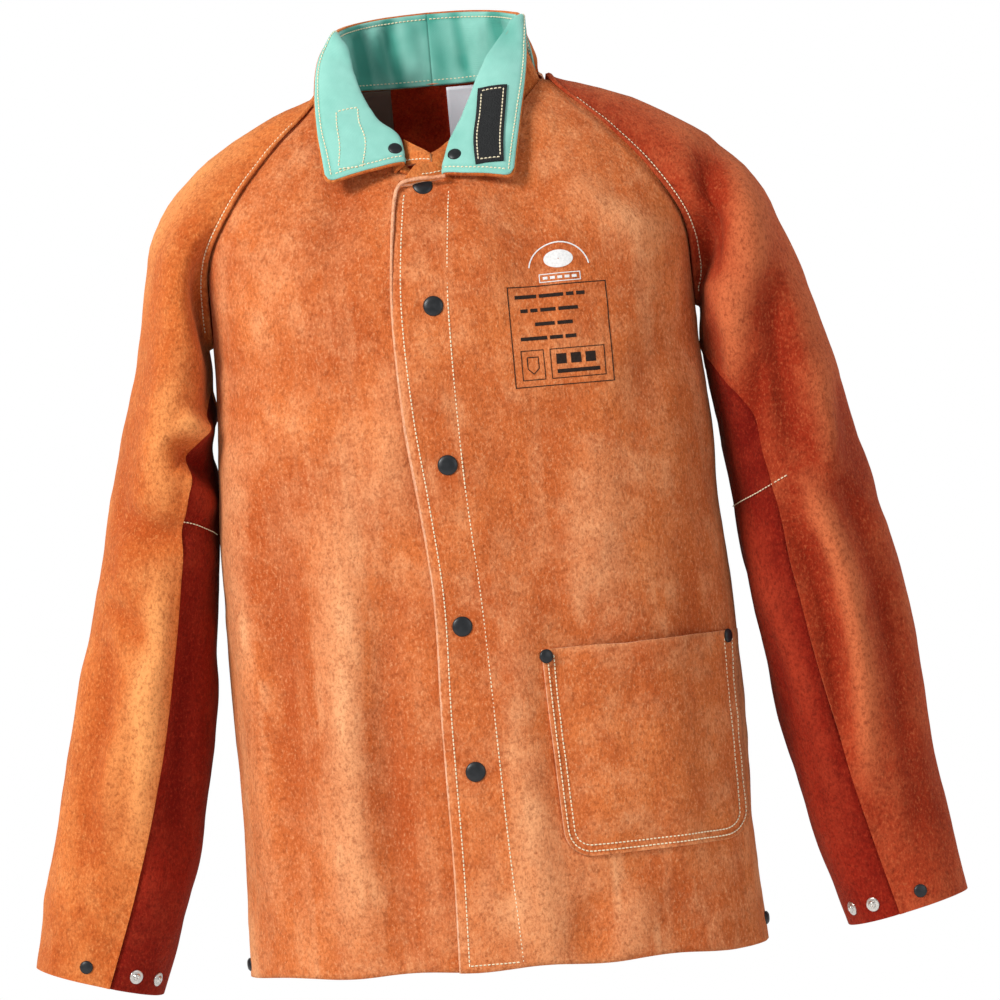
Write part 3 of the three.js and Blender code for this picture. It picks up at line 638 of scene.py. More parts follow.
@dataclass(frozen=True)
class Hardware:
    """Enamelled or plated metal of the snaps and rivets."""

    name: str
    base: tuple[float, float, float]
    metal: float
    roughness: float

    def material(self) -> bpy.types.Material:
        """Builds the metal with faint handling marks."""
        n = Nodes(self.name)
        marks = n.noise(160, 4, 0.6)
        light = tuple(min(1.0, 1.6 * c + 0.01) for c in self.base)
        n.link(n.mix(n.ramp(marks, 0.45, 0.8, 0, 0.5), self.base, light),
               n.shader.inputs["Base Color"])
        n.link(n.ramp(marks, 0.3, 0.8, self.roughness - 0.06, self.roughness + 0.12),
               n.shader.inputs["Roughness"])
        n.set(Metallic=self.metal, Specular_IOR_Level=0.5)
        n.bump([(marks, 0.12, 0.0003)])
        return n.material


@dataclass(frozen=True)
class Plain:
    """Thread, ink, paint or tape with a little unevenness."""

    name: str
    base: tuple[float, float, float]
    uneven: float = 0.2
    roughness: float = 0.8
    # Painted light: emission that brightens a piece as if lit; it is no lamp.
    painted_glow: float = 0.0

    def material(self) -> bpy.types.Material:
        """Builds the uneven colour."""
        n = Nodes(self.name)
        patch = n.noise(420, 3, 0.65)
        dark = tuple((1 - self.uneven) * c for c in self.base)
        n.link(n.mix(n.ramp(patch, 0.35, 0.65), self.base, dark), n.shader.inputs["Base Color"])
        # The emission here is painted light.
        n.set(Roughness=self.roughness, Specular_IOR_Level=0.2, Emission_Strength=self.painted_glow,
              Emission_Color=(*self.base, 1))
        n.bump([(patch, 0.3, 0.0004)])
        return n.material


Finish = Suede | Cloth | Tape | Hardware | Plain

FRONT = Suede("split_leather_front", (0.66, 0.180, 0.050), (0.45, 0.082, 0.018),
              (0.88, 0.42, 0.20), 0.45)
BRIGHT = Suede("split_leather_bright", (0.67, 0.178, 0.040), (0.45, 0.078, 0.014),
               (0.86, 0.36, 0.12), 0.2)
RUSSET = Suede("split_leather_russet", (0.44, 0.056, 0.018), (0.27, 0.020, 0.006),
               (0.62, 0.16, 0.06), 0.15, 0.14)
# Under-sleeve: darker leather, with painted shade of the sleeve's inner side darkening it further.
UNDER_DARK_AND_SHADED = Suede("under_sleeve_leather_and_painted_shade", (0.27, 0.015, 0.006), (0.16, 0.006, 0.003),
              (0.42, 0.05, 0.02), 0.1, 0.06)
FLESH = Suede("split_leather_inside", (0.52, 0.034, 0.009), (0.30, 0.014, 0.004),
              (0.60, 0.09, 0.022), 0.1, 0.08)
CUT = Suede("cut_leather_edge", (0.84, 0.44, 0.26), (0.70, 0.26, 0.12), (0.92, 0.66, 0.50), 0.0)
# The lining's deep colour is the shade of its creases; it is painted in as shade where the point
# attribute falls below nought, and also tints the weave.
MINT = Cloth("mint_cotton", (0.30, 0.64, 0.56), (0.012, 0.25, 0.19))
SATIN = Cloth("satin_lining", (0.17, 0.115, 0.085), (0.06, 0.04, 0.03), 5200.0, 0.5, 0.1)
HOOKS = Tape("hook_tape", (0.012, 0.013, 0.014))
ENAMEL = Hardware("black_enamel", (0.016, 0.018, 0.021), 0.35, 0.36)
NICKEL = Hardware("nickel_plate", (0.60, 0.58, 0.55), 0.95, 0.28)
THREAD = Plain("cream_thread", (0.93, 0.82, 0.58), 0.22)
WHITE = Plain("white_print", (0.84, 0.84, 0.84), 0.18, 0.9)
INK = Plain("black_print", (0.030, 0.018, 0.014), 0.4, 0.95)
# The tab's glow is painted light that brightens it in the shade inside the neck.
TAB_WITH_PAINTED_GLOW = Plain("white_tab_painted_glow", (0.80, 0.82, 0.88), 0.06, 0.7, 0.3)

_made_materials: dict[str, bpy.types.Material] = {}


def dress(piece: bpy.types.Object, *finishes: Finish) -> None:
    """Gives a piece its materials, in the order of its faces' numbers."""
    for finish in finishes:
        if finish.name not in _made_materials:
            _made_materials[finish.name] = finish.material()
        piece.data.materials.append(_made_materials[finish.name])


class Motion:
    """Two bodies and two points that a soft piece spans; they are kept but not used."""

    def __init__(self, first: str, second: str, start: Sequence[float], end: Sequence[float]):
        """Keeps two bodies and two points, in millimetres above the hem."""
        self.first, self.second = first, second
        self.start, self.end = spot_in_frame(*start), spot_in_frame(*end)

    def bend(self, piece: bpy.types.Object) -> None:
        """Bakes the piece's transform into its mesh."""
        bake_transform(piece)


def hand_in(piece: bpy.types.Object, slot: str | None, *replaced: str) -> bpy.types.Object:
    """Hides the frame nodes that a piece stands for and logs its point count."""
    if replaced:
        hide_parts(*replaced)
    log.info("%s: %d points", piece.name, len(piece.data.vertices))
    return piece


def complete(piece: bpy.types.Object, finishes: Sequence[Finish], carrier: Motion | str,
             slot: str | None, *replaced: str) -> None:
    """Dresses a piece, parents it to its body's empty or bakes its transform, hides the frame nodes
    that it stands for and logs it.

    Args:
        piece: The piece.
        finishes: Its finishes, in the order of its faces' numbers.
        carrier: The body whose empty it is parented to, or a Motion, for which only its transform
            is baked.
        slot: Its finish slot, or None for thread and print; not used.
        replaced: Nodes of the frame that it stands for.
    """
    dress(piece, *finishes)
    if isinstance(carrier, Motion):
        carrier.bend(piece)
    else:
        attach(piece, carrier)
    hand_in(piece, slot, *replaced)


# ---------- the body of the jacket ----------
@dataclass
class BodyForm:
    """Shape that the jacket's body hangs in.

    Attributes:
        armpit: Height at which the raglan seam starts.
        neck_side: Height at which it meets the neck.
        roundness: Power of the rounded outline of each section.
        seam_lap: How far the body's leather runs on under the sleeve, as a turn.
        sections: Height, half width, front depth and back depth.
        seam: Height and share of the half width at which the raglan seam runs.
    """

    armpit: float = 578
    neck_side: float = 800
    roundness: float = 2.5
    seam_lap: float = 0.03
    sections: tuple = (
        (0, 236, 140, 126), (115, 231, 142, 126), (300, 230, 146, 128), (450, 225, 149, 132),
        (578, 220, 148, 136), (640, 224, 138, 136), (700, 223, 108, 127), (745, 188, 82, 108),
        (788, 131, 52, 78), (800, 98, 42, 68),
    )
    seam: tuple = (
        (578, 1), (615, 0.985), (652, 0.955), (700, 0.835), (745, 0.79), (788, 0.8), (800, 1),
    )

    def point(self, turn: Array, height: Array, back: Array | bool) -> Array:
        """Points of the form; turn nought is the centre line, a quarter turn the side."""
        turn, height = np.broadcast_arrays(np.asarray(turn, float), np.asarray(height, float))
        half, front, rear = np.moveaxis(along(self.sections, height), -1, 0)
        e = 2 / self.roundness
        depth = np.where(back, rear, -front)
        return np.stack([half * power(np.sin(turn), e), depth * power(np.cos(turn), e), height], -1)

    def turn_at(self, x: Array, height: Array) -> Array:
        """Turn at which the form reaches an x at a height."""
        half = along(self.sections, height)[..., 0]
        share = np.clip(np.abs(x) / half, 0, 1)
        return np.sign(x) * np.arcsin(share ** (self.roundness / 2))

    def raglan_turn(self, height: Array) -> Array:
        """Turn of the raglan seam at a height."""
        share = np.clip(along(self.seam, np.maximum(height, self.armpit))[..., 0], 0, 1)
        turn = np.arcsin(share ** (self.roundness / 2))
        return np.where(np.asarray(height) <= self.armpit, math.pi / 2, turn)

    def sewn_turn(self, height: Array) -> Array:
        """Turn at which the body's leather ends, a little way under the sleeve."""
        return self.raglan_turn(height) + self.seam_lap * smoothstep(
            height, self.armpit + 2, self.armpit + 22)

    def raglan_loop(self, sign: int, angle: Array) -> Array:
        """Points of a raglan seam by the angle round the sleeve, nought on the outer side."""
        share = 1 - np.abs(angle - math.pi) / math.pi
        height = self.neck_side + (self.armpit - self.neck_side) * share ** 0.8
        return self.point(self.raglan_turn(height) * sign, height, angle > math.pi)


FORM = BodyForm()
GRAIN = Grain(11)
FINE = Grain(23)

FRONT_FOLDS = (
    Fold(((-206, 560), (-150, 540), (-96, 500)), -3.0, 26),
    Fold(((-77, 757), (-95, 690), (-112, 600)), -3.0, 24, 14),
    Fold(((-159, 470), (-176, 350), (-183, 200), (-180, 60)), -5.0, 24),
    Fold(((-205, 520), (-212, 380), (-208, 200), (-206, 40)), 3.0, 14),
    Fold(((-120, 420), (-118, 300), (-126, 140), (-128, 20)), 4.5, 26),
    Fold(((-84, 360), (-92, 240), (-92, 110), (-86, 10)), -4.5, 20),
    Fold(((-60, 560), (-66, 460), (-62, 380)), 2.4, 20),
    Fold(((104, 470), (110, 380), (104, 280)), 2.8, 30),
    Fold(((60, 690), (80, 640), (70, 560)), -2.2, 24),
    Fold(((206, 640), (160, 652), (110, 690)), 2.8, 22, 14),
    Fold(((208, 570), (172, 520), (150, 440)), -3.0, 26),
    Fold(((30, 560), (26, 430), (30, 330)), -2.2, 22),
    Fold(((36, 330), (30, 200), (34, 60), (38, 0)), 2.4, 16),
    Fold(((186, 400), (196, 300), (192, 160), (184, 20)), -3.6, 22),
    Fold(((120, 70), (116, 30), (118, 0)), 3.4, 20),
    Fold(((70, 60), (72, 30), (70, 0)), -2.6, 18),
)
BACK_FOLDS = (
    Fold(((-190, 560), (-120, 600), (-60, 690)), 4.0, 26, 16),
    Fold(((190, 560), (130, 610), (76, 700)), 4.0, 16, 26),
    Fold(((-120, 480), (-130, 300), (-124, 20)), 6.0, 30),
    Fold(((-60, 520), (-52, 320), (-60, 10)), -5.0, 28),
    Fold(((20, 600), (10, 400), (24, 120), (20, 0)), 4.5, 30),
    Fold(((90, 500), (96, 300), (88, 20)), -5.5, 26),
    Fold(((150, 470), (158, 260), (160, 10)), 5.5, 28),
    Fold(((-100, 700), (0, 676), (100, 702)), -2.5, 24),
)


TOP_SNAP_RISE = 15  # the top snap sits higher, half hidden by the lapel
SNAP_BOXES = [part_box(f"front_snap_cap_{k}") for k in range(1, 6)]
SNAP_X = float(np.mean([1000 * (a.x + b.x) / 2 for a, b in SNAP_BOXES]))
SNAP_HEIGHTS = [1000 * (a.z + b.z) / 2 + JACKET_LENGTH for a, b in SNAP_BOXES]
SNAP_HEIGHTS[-1] += TOP_SNAP_RISE


@dataclass
class Body:
    """Back, fronts, placket, lapels, snaps and hem of the jacket.

    Attributes:
        lap: How far the left front stands out where it laps over the right one.
        lap_from: The x at which it starts to come down to the form.
        lap_to: The x at which it lies on the form.
        cell: Size of the facets.
        hem_snap_height: Height of the snaps at the sides of the hem.
        left_hinge: Lower and upper end of the line that the left front bends about.
        right_hinge: The same for the right front.
        hinge_reach: Distance to either side of that line over which a front bends.
        placket_edge: Height and x of the lapping edge.
        inner_stitch: Height and x of the placket's inner row of thread.
        neck_line: Height and x of the neck's edge on each front.
        left_motion: How the left front bends.
        right_motion: How the right front bends.
        loops: Points of the raglan seam on either side.
    """

    lap: float = 7.4
    lap_from: float = 12
    lap_to: float = 80
    cell: float = 5.0
    hem_snap_height: float = 14
    left_hinge: tuple[Pair, Pair] = ((172, 0), (27, 690))
    right_hinge: tuple[Pair, Pair] = ((-172, 0), (-44, 690))
    hinge_reach: float = 38
    placket_edge: tuple = (
        (0, -45), (94, -42), (221, -41), (329, -38), (410, -43), (493, -50), (592, -52),
        (677, -43), (700, -38),
    )
    inner_stitch: tuple = (
        (0, 11), (120, 7), (316, 3), (443, -3), (588, -3), (660, 3), (700, 8),
    )
    neck_line: tuple = (
        (696, -12), (704, 2), (713, 28), (726, 47), (745, 62), (768, 80), (790, 99),
    )
    left_motion: Motion = field(init=False)
    right_motion: Motion = field(init=False)
    loops: dict[int, Array] = field(init=False)

    def __post_init__(self) -> None:
        """Works out the seam loops and how the fronts bend."""
        angle = np.linspace(0, 2 * math.pi, 140)
        self.loops = {s: FORM.raglan_loop(s, angle) for s in (-1, 1)}
        self.left_motion = self.hinge_motion("left_front", *self.left_hinge)
        self.right_motion = self.hinge_motion("right_front", *self.right_hinge)

    def hinge_motion(self, body: str, low: Pair, high: Pair) -> Motion:
        """Motion of a front, its points on either side of the line from low to high."""
        reach = self.hinge_reach
        x, h = high[0] - low[0], high[1] - low[1]
        size = math.hypot(x, h)
        inboard = (-h / size, x / size) if low[0] > 0 else (h / size, -x / size)
        start = (low[0] - reach * inboard[0], 0, low[1] - reach * inboard[1])
        end = (low[0] + reach * inboard[0], 0, low[1] + reach * inboard[1])
        return Motion("torso", body, start, end)

    def seam_distance(self, points: Array) -> Array:
        """Distance of each point from the nearer raglan seam."""
        flat = points.reshape(-1, 3)
        best = np.full(len(flat), 1e9)
        for loop in self.loops.values():
            for start in range(0, len(flat), 8192):
                part = flat[start:start + 8192]
                gap = np.linalg.norm(part[:, None] - loop[None], axis=-1).min(axis=1)
                best[start:start + 8192] = np.minimum(best[start:start + 8192], gap)
        return best.reshape(points.shape[:-1])

    def relief(self, points: Array, back: bool) -> Array:
        """How far the leather stands off the form, with its folds, lumps and seams."""
        x, h = points[..., 0], points[..., 2]
        folds = lift_of(BACK_FOLDS if back else FRONT_FOLDS, x, h)
        sway = 3.2 * GRAIN(points, (75, 75, 260)) * smoothstep(560 - h, 0, 320)
        lumps = 1.7 * GRAIN(points + 500, (42, 42, 60)) + 0.6 * FINE(points, (14, 14, 18))
        edge = self.seam_distance(points)
        calm = smoothstep(edge, 4, 40)
        tuck = -2.2 * (1 - smoothstep(edge, 0.5, 8))
        return (1.9 * folds + sway) * calm + lumps * (0.2 + 0.8 * calm) + tuck

    def front_spot(self, x: Array, height: Array, left: bool, lift: float = 0.0,
                   ) -> tuple[Array, Array]:
        """Points and outward directions of the front leather's outer face.

        Args:
            x: Places across.
            height: Heights above the hem.
            left: Whether it is the lapping left front.
            lift: Extra distance off the leather.

        Returns:
            The points and their directions.
        """
        x, height = np.broadcast_arrays(np.asarray(x, float), np.asarray(height, float))
        step = 0.6

        def surface(a: Array, b: Array) -> Array:
            """Points of the leather at each x and height."""
            base = FORM.point(FORM.turn_at(a, b), b, False)
            ahead = FORM.point(FORM.turn_at(a + step, b), b, False) - base
            up = FORM.point(FORM.turn_at(a, b + step), b + step, False) - base
            out = unit(np.cross(ahead, up))
            rise = self.relief(base, False)
            if left:
                rise = rise + self.lap * (1 - smoothstep(a, self.lap_from, self.lap_to))
            return base + out * rise[..., None]

        here = surface(x, height)
        ahead, up = surface(x + 2, height) - here, surface(x, height + 2) - here
        out = unit(np.cross(ahead, up))
        return here + out * lift, out

    @staticmethod
    def hem_line(points: Array) -> Array:
        """Lets the hem wave and hang a little lower on the left side."""
        x, h = points[..., 0], points[..., 2]
        near = smoothstep(70 - h, 0, 70)
        moved = points.copy()
        moved[..., 2] -= near * (4.4 * x / 236 + 0.8 - 1.4 * np.sin(x * 0.055))
        return moved

    def build_back(self) -> None:
        """The back, from seam to seam."""
        rows = np.linspace(0, 803, int(803 / self.cell))
        u = np.linspace(-1, 1, int(700 / self.cell))
        turn = FORM.sewn_turn(rows)[:, None] * u[None, :]
        base = FORM.point(turn, rows[:, None], True)
        out = facing(grid_normals(base), 1, 1)
        rise = self.relief(base, True)
        outer = self.hem_line(base + out * rise[..., None])
        inner = outer - out * LEATHER
        # Painted light and shade of the folds: lighter on fold crests, darker in fold hollows.
        piece = sheet_object("back_leather", outer, inner, wear_and_painted_light=rise / 13)
        complete(piece, (FRONT, FLESH, CUT), "torso", "split_leather", "back_panel")

    def front_grid(self, left: bool) -> tuple[Array, Array]:
        """Points of one front on the form, from its free edge to its side, and their rows."""
        sign = 1 if left else -1
        low = np.linspace(0, 694, int(694 / self.cell))
        high = np.concatenate([np.linspace(696, 716, 9), np.linspace(720, 789, 15)])
        rows = np.concatenate([low, high])
        if left:
            free = along(self.placket_edge, rows)[:, 0]
        else:
            free = np.full(len(rows), 4.0)
        neck = sign * along(self.neck_line, np.maximum(rows, 696))[:, 0]
        free = np.where(rows > 695, neck, free)
        u = np.linspace(0, 1, int(330 / self.cell))
        first = FORM.turn_at(free, rows)
        turn = first[:, None] + (sign * FORM.sewn_turn(rows) - first)[:, None] * u[None, :]
        base = FORM.point(turn, rows[:, None], False)
        return base, rows

    def build_front(self, left: bool) -> None:
        """One front, from its free edge to the side."""
        base, rows = self.front_grid(left)
        out = facing(grid_normals(base), 1, -1)
        rise = self.relief(base, False)
        x = base[..., 0]
        if left:
            lap = self.lap * (1 - smoothstep(x, self.lap_from, self.lap_to))
            rise = rise + lap
            # Painted light and shade of the folds: lighter on crests, darker in hollows; the lap
            # itself is left out.
            wear_and_painted_light = (rise - lap) / 11
            for height in SNAP_HEIGHTS:
                gap = np.hypot(x - SNAP_X, base[..., 2] - height)
                rise = rise - 1.6 * np.exp(-((gap / 12) ** 2))
                # Painted shade in the dimple round each snap.
                wear_and_painted_light = wear_and_painted_light - 0.35 * np.exp(-((gap / 13) ** 2))
            for table, inset in ((self.placket_edge, 8.0), (self.inner_stitch, 0.0)):
                seam = along(table, rows)[:, :1] + inset
                groove = np.exp(-(((x - seam) / 3.0) ** 2)) * (base[..., 2] < 700)
                rise = rise - 0.8 * groove
                # Painted shade in the stitch grooves.
                wear_and_painted_light = wear_and_painted_light - 0.18 * groove
            # Painted highlight along the lapping edge of the placket, where it catches the light.
            edge = along(self.placket_edge, rows)[:, :1]
            wear_and_painted_light = wear_and_painted_light + 0.25 * np.exp(-(((x - edge) / 2.5) ** 2))
        else:
            # Painted light and shade of the folds: lighter on crests, darker in hollows.
            wear_and_painted_light = rise / 11
        streak = FINE(base, (10, 300, 62)) + 0.5 * FINE(base + 40, (5, 300, 30))
        wear_and_painted_light = wear_and_painted_light + 0.9 * np.clip(streak - 0.34, 0, 1) * smoothstep(560 - base[..., 2], 0, 260)
        outer = self.hem_line(base + out * rise[..., None])
        inner = outer - out * LEATHER
        side = "left" if left else "right"
        piece = sheet_object(f"{side}_front_leather", outer, inner, wear_and_painted_light=wear_and_painted_light)
        complete(piece, (FRONT, FLESH, CUT), (self.left_motion if left else self.right_motion),
                 "split_leather", f"{side}_front_side", f"{side}_front_fold", f"{side}_front_panel")

    def build_placket(self) -> None:
        """The facing sewn behind the lapping edge, whose own edge shows as a second line."""
        rows = np.linspace(0, 694, 170)
        first = along(self.placket_edge, rows)[:, 0] - 1.6
        last = along(self.inner_stitch, rows)[:, 0] + 4
        u = np.linspace(0, 1, 22)
        x = first[:, None] + (last - first)[:, None] * u
        outer, out = self.front_spot(x, np.broadcast_to(rows[:, None], x.shape), True,
                                     -LEATHER - 0.2)
        outer = self.hem_line(outer)
        piece = sheet_object("placket_facing", outer, outer - out * 1.9)
        complete(piece, (CUT, FRONT, CUT), self.left_motion, "split_leather", "placket_band")

    def build_lapels(self) -> None:
        """The two corners of the neck opening that fall open under the collar."""
        for side, motion, corners in (
            ("left", self.left_motion,
             ((-36, -121, 700), (8, -113, 703), (21, -84, 744), (-8, -97, 726))),
            ("right", self.right_motion,
             ((-30, -99, 718), (-7, -110, 720), (-7, -105, 727), (-30, -86, 743))),
        ):
            left = side == "left"
            a, b, c, d = (np.array(p, float) for p in corners)
            u, v = np.meshgrid(np.linspace(0, 1, 24), np.linspace(0, 1, 24))
            u, v = u[..., None], v[..., None]
            base = (a * (1 - u) + b * u) * (1 - v) + (d * (1 - u) + c * u) * v
            out = facing(grid_normals(base), 1, -1)
            swell = 1 - u ** 2 if left else 0.6 * np.sin(math.pi * u) ** 0.8
            bulge = 5.0 * np.sin(math.pi * np.clip(v * 1.1, 0, 1)) ** 0.8 * swell
            bulge = bulge + 1.0 * FINE(base, (9, 9, 9))[..., None]
            outer = base + out * bulge
            piece = sheet_object(f"{side}_lapel", outer, outer - out * LEATHER,
                                 wear_and_painted_light=0.2 * (1 - v[..., 0]) ** 3)
            complete(piece, (BRIGHT, FLESH, CUT), motion, "split_leather")
            thread = Thread(radius=0.55)
            across = slice(8 if left else 0, 24)
            thread.sew(outer[4, across], out[4, across])
            thread.complete(f"{side}_lapel_thread", motion)
        self.build_rolled_edge()

    def build_rolled_edge(self) -> None:
        """The pale cut edge that curls over the top of the placket."""
        curl = along([(i, *p) for i, p in enumerate((
            (-42, 682, 1.6), (-39, 691, 2.8), (-33, 696, 5.2), (-20, 697, 7.8), (-8, 697, 8.4),
            (4, 698, 7.6)))], np.linspace(0, 5, 50))
        rows = np.linspace(3, 676, 210)
        edge = np.stack([
            along(self.placket_edge, rows)[:, 0], rows, -1.1 + 2.7 * smoothstep(rows, 560, 682),
        ], axis=-1)
        read = np.concatenate([edge, curl])
        spot, out = self.front_spot(read[:, 0], read[:, 1], True)
        spot = spot + out * read[:, 2:3]
        ahead = unit(np.gradient(spot, axis=0))
        side = unit(np.cross(out, ahead))
        angle = np.linspace(0, 2 * math.pi, 10, endpoint=False)
        bold = 1.1 + 0.6 * smoothstep(read[:, 1], 600, 690) + 0.25 * FINE(spot, (4, 4, 4))
        thick = bold[:, None, None]
        ring = np.cos(angle)[None, :, None] * side[:, None]
        ring = ring + np.sin(angle)[None, :, None] * out[:, None]
        grid = spot[:, None] + thick * ring
        piece = sheet_object("rolled_edge", grid, spot[:, None] + 0.5 * ring, ring=True)
        complete(piece, (CUT, CUT, CUT), self.left_motion, "split_leather")

    def build_thread(self) -> None:
        """Top-stitching of the placket and of the pocket."""
        thread = Thread()
        rows = np.linspace(4, 690, 240)
        for table, inset in ((self.placket_edge, 8.0), (self.inner_stitch, 0.0)):
            line, out = self.front_spot(along(table, rows)[:, 0] + inset, rows, True, -0.7)
            thread.sew(line, out)
        line, out = self.front_spot(np.linspace(-36, 10, 20), np.full(20, 5.0), True, -0.1)
        thread.sew(line, out)
        thread.complete("placket_thread", self.left_motion)

    def build_snaps(self) -> None:
        """The five front snaps: caps on the left front, studs on the right."""
        cap = ((0, -0.6), (9.0, -0.6), (9.0, 0.6), (8.6, 1.2), (7.4, 1.9), (5.0, 2.45), (2.4, 2.7),
               (0, 2.75))
        stud = ((0, -3.6), (6.2, -3.6), (6.5, -3.0), (2.4, -2.6), (2.4, 0.3), (6.3, 0.3),
                (6.5, 0.8), (3.6, 1.4), (2.9, 2.6), (0, 2.9))
        for number, height in enumerate(SNAP_HEIGHTS, 1):
            spot, out = self.front_spot(SNAP_X, height, True, -1.1)
            piece = turned_object(f"front_snap_{number}", cap, spot, out)
            complete(piece, (ENAMEL,), "left_front", "black_snap", f"front_snap_cap_{number}")
            spot, out = self.front_spot(SNAP_X, height, False, -0.2)
            piece = turned_object(f"front_stud_{number}", stud, spot, out, 28)
            complete(piece, (NICKEL,), "right_front", "steel_snap", f"front_snap_stud_{number}")
        for side, sign in (("left", 1), ("right", -1)):
            turn = sign * (math.pi / 2 - 0.09)
            spot = FORM.point(turn, self.hem_snap_height, False)
            out = np.array([sign * 0.96, -0.28, 0.0])
            rise = self.relief(spot[None], False)[0]
            profile = ((0, -2.5), (6, -2.5), (6, 0.9), (4.4, 2.2), (2, 2.6), (0, 2.7))
            piece = turned_object(f"{side}_hem_button", profile, spot + out * (rise + 0.3), out, 28)
            complete(piece, (ENAMEL,), "torso", "black_snap", f"{side}_hem_snap")

    def build(self) -> None:
        """Every piece of the body."""
        self.build_back()
        self.build_front(True)
        self.build_front(False)
        self.build_placket()
        self.build_lapels()
        self.build_thread()
        self.build_snaps()


@dataclass
class Pocket:
    """Patch pocket on the left front, sewn with two rows and riveted at its mouth."""

    body: Body
    top: float = 278
    bottom: float = 92
    inner: tuple = ((92, 57), (180, 54), (278, 51))
    outer: tuple = ((92, 224), (180, 226), (278, 228))
    corner: float = 24
    bulge: float = 3.4

    def outline(self, height: Array, inset: float) -> tuple[Array, Array]:
        """Left and right x of the pocket at a height, drawn in by an inset."""
        radius = self.corner - inset
        drop = np.clip(self.bottom + self.corner - height, 0, radius)
        round_in = radius - np.sqrt(np.maximum(radius ** 2 - drop ** 2, 0)) + inset
        left = along(self.inner, height)[:, 0] + round_in
        return left, along(self.outer, height)[:, 0] - round_in

    def rows(self, inset: float) -> Array:
        """Heights from the bottom to the mouth, closer together round the corners."""
        t = np.sin(np.linspace(0, math.pi / 2, 14))
        foot = self.bottom + inset
        arc = foot + (self.corner - inset) * (1 - np.sqrt(1 - (t * 0.999) ** 2))
        return np.concatenate([arc, np.linspace(arc[-1], self.top, 34)[1:]])

    def build(self) -> None:
        """The leather, its thread and its rivets."""
        heights = self.rows(0)
        left, right = self.outline(heights, 0)
        u = np.linspace(0, 1, 42)
        x = left[:, None] + (right - left)[:, None] * u
        h = np.broadcast_to(heights[:, None], x.shape)
        edge = np.minimum.reduce([x - left[:, None], right[:, None] - x, h - self.bottom])
        lift = 0.5 + LEATHER + self.bulge * smoothstep(edge, 4, 42)
        mouth = smoothstep(h, self.top - 40, self.top) * np.sin(math.pi * u) ** 2
        lift = lift + 2.2 * mouth + 1.2 * GRAIN(np.stack([x, h, h * 0], -1), (40, 60, 40))
        sewn = np.exp(-(((edge - 4) / 2.2) ** 2)) + np.exp(-(((edge - 9.5) / 2.2) ** 2))
        sewn = sewn * (h < self.top - 8)
        lift = lift - 0.7 * sewn
        spot, out = self.body.front_spot(x, h, True)
        outer = spot + out * lift[..., None]
        # Edges rubbed paler; painted shade in the stitch grooves.
        wear_and_painted_light = 0.35 * np.exp(-((edge / 2.4) ** 2)) - 0.15 * sewn
        # Painted highlight along the pocket's mouth.
        wear_and_painted_light = wear_and_painted_light + 0.3 * smoothstep(h, self.top - 3, self.top)
        piece = sheet_object("pocket_leather", outer, outer - out * LEATHER, wear_and_painted_light=wear_and_painted_light)
        complete(piece, (FRONT, FLESH, CUT), self.body.left_motion,
                 "split_leather", "chest_pocket")
        self.build_thread()
        self.build_rivets()

    def build_thread(self) -> None:
        """Two rows of thread round three sides."""
        thread = Thread()
        for inset in (4.0, 9.5):
            heights = self.rows(inset)
            left, right = self.outline(heights, inset)
            x = np.concatenate([left[::-1], np.linspace(left[0], right[0], 40)[1:-1], right])
            h = np.concatenate([heights[::-1], np.full(38, heights[0]), heights])
            keep = h < self.top - 3
            spot, out = self.body.front_spot(x[keep], h[keep], True, 0.5 + LEATHER - 0.3)
            thread.sew(spot, out)
        thread.complete("pocket_thread", self.body.left_motion)

    def build_rivets(self) -> None:
        """A black rivet at each end of the mouth."""
        profile = ((0, -1.2), (6.2, -1.2), (6.4, 0.5), (5.8, 1.5), (4.2, 2.3), (2, 2.7), (0, 2.8))
        for name, x, h, body in (("inner", 54, 272, "left_front"), ("outer", 221, 273, "torso")):
            spot, out = self.body.front_spot(x, h, True, LEATHER + 1.2)
            piece = turned_object(f"pocket_rivet_{name}_cap", profile, spot, out, 32)
            complete(piece, (ENAMEL,), body, "black_snap", f"pocket_rivet_{name}")


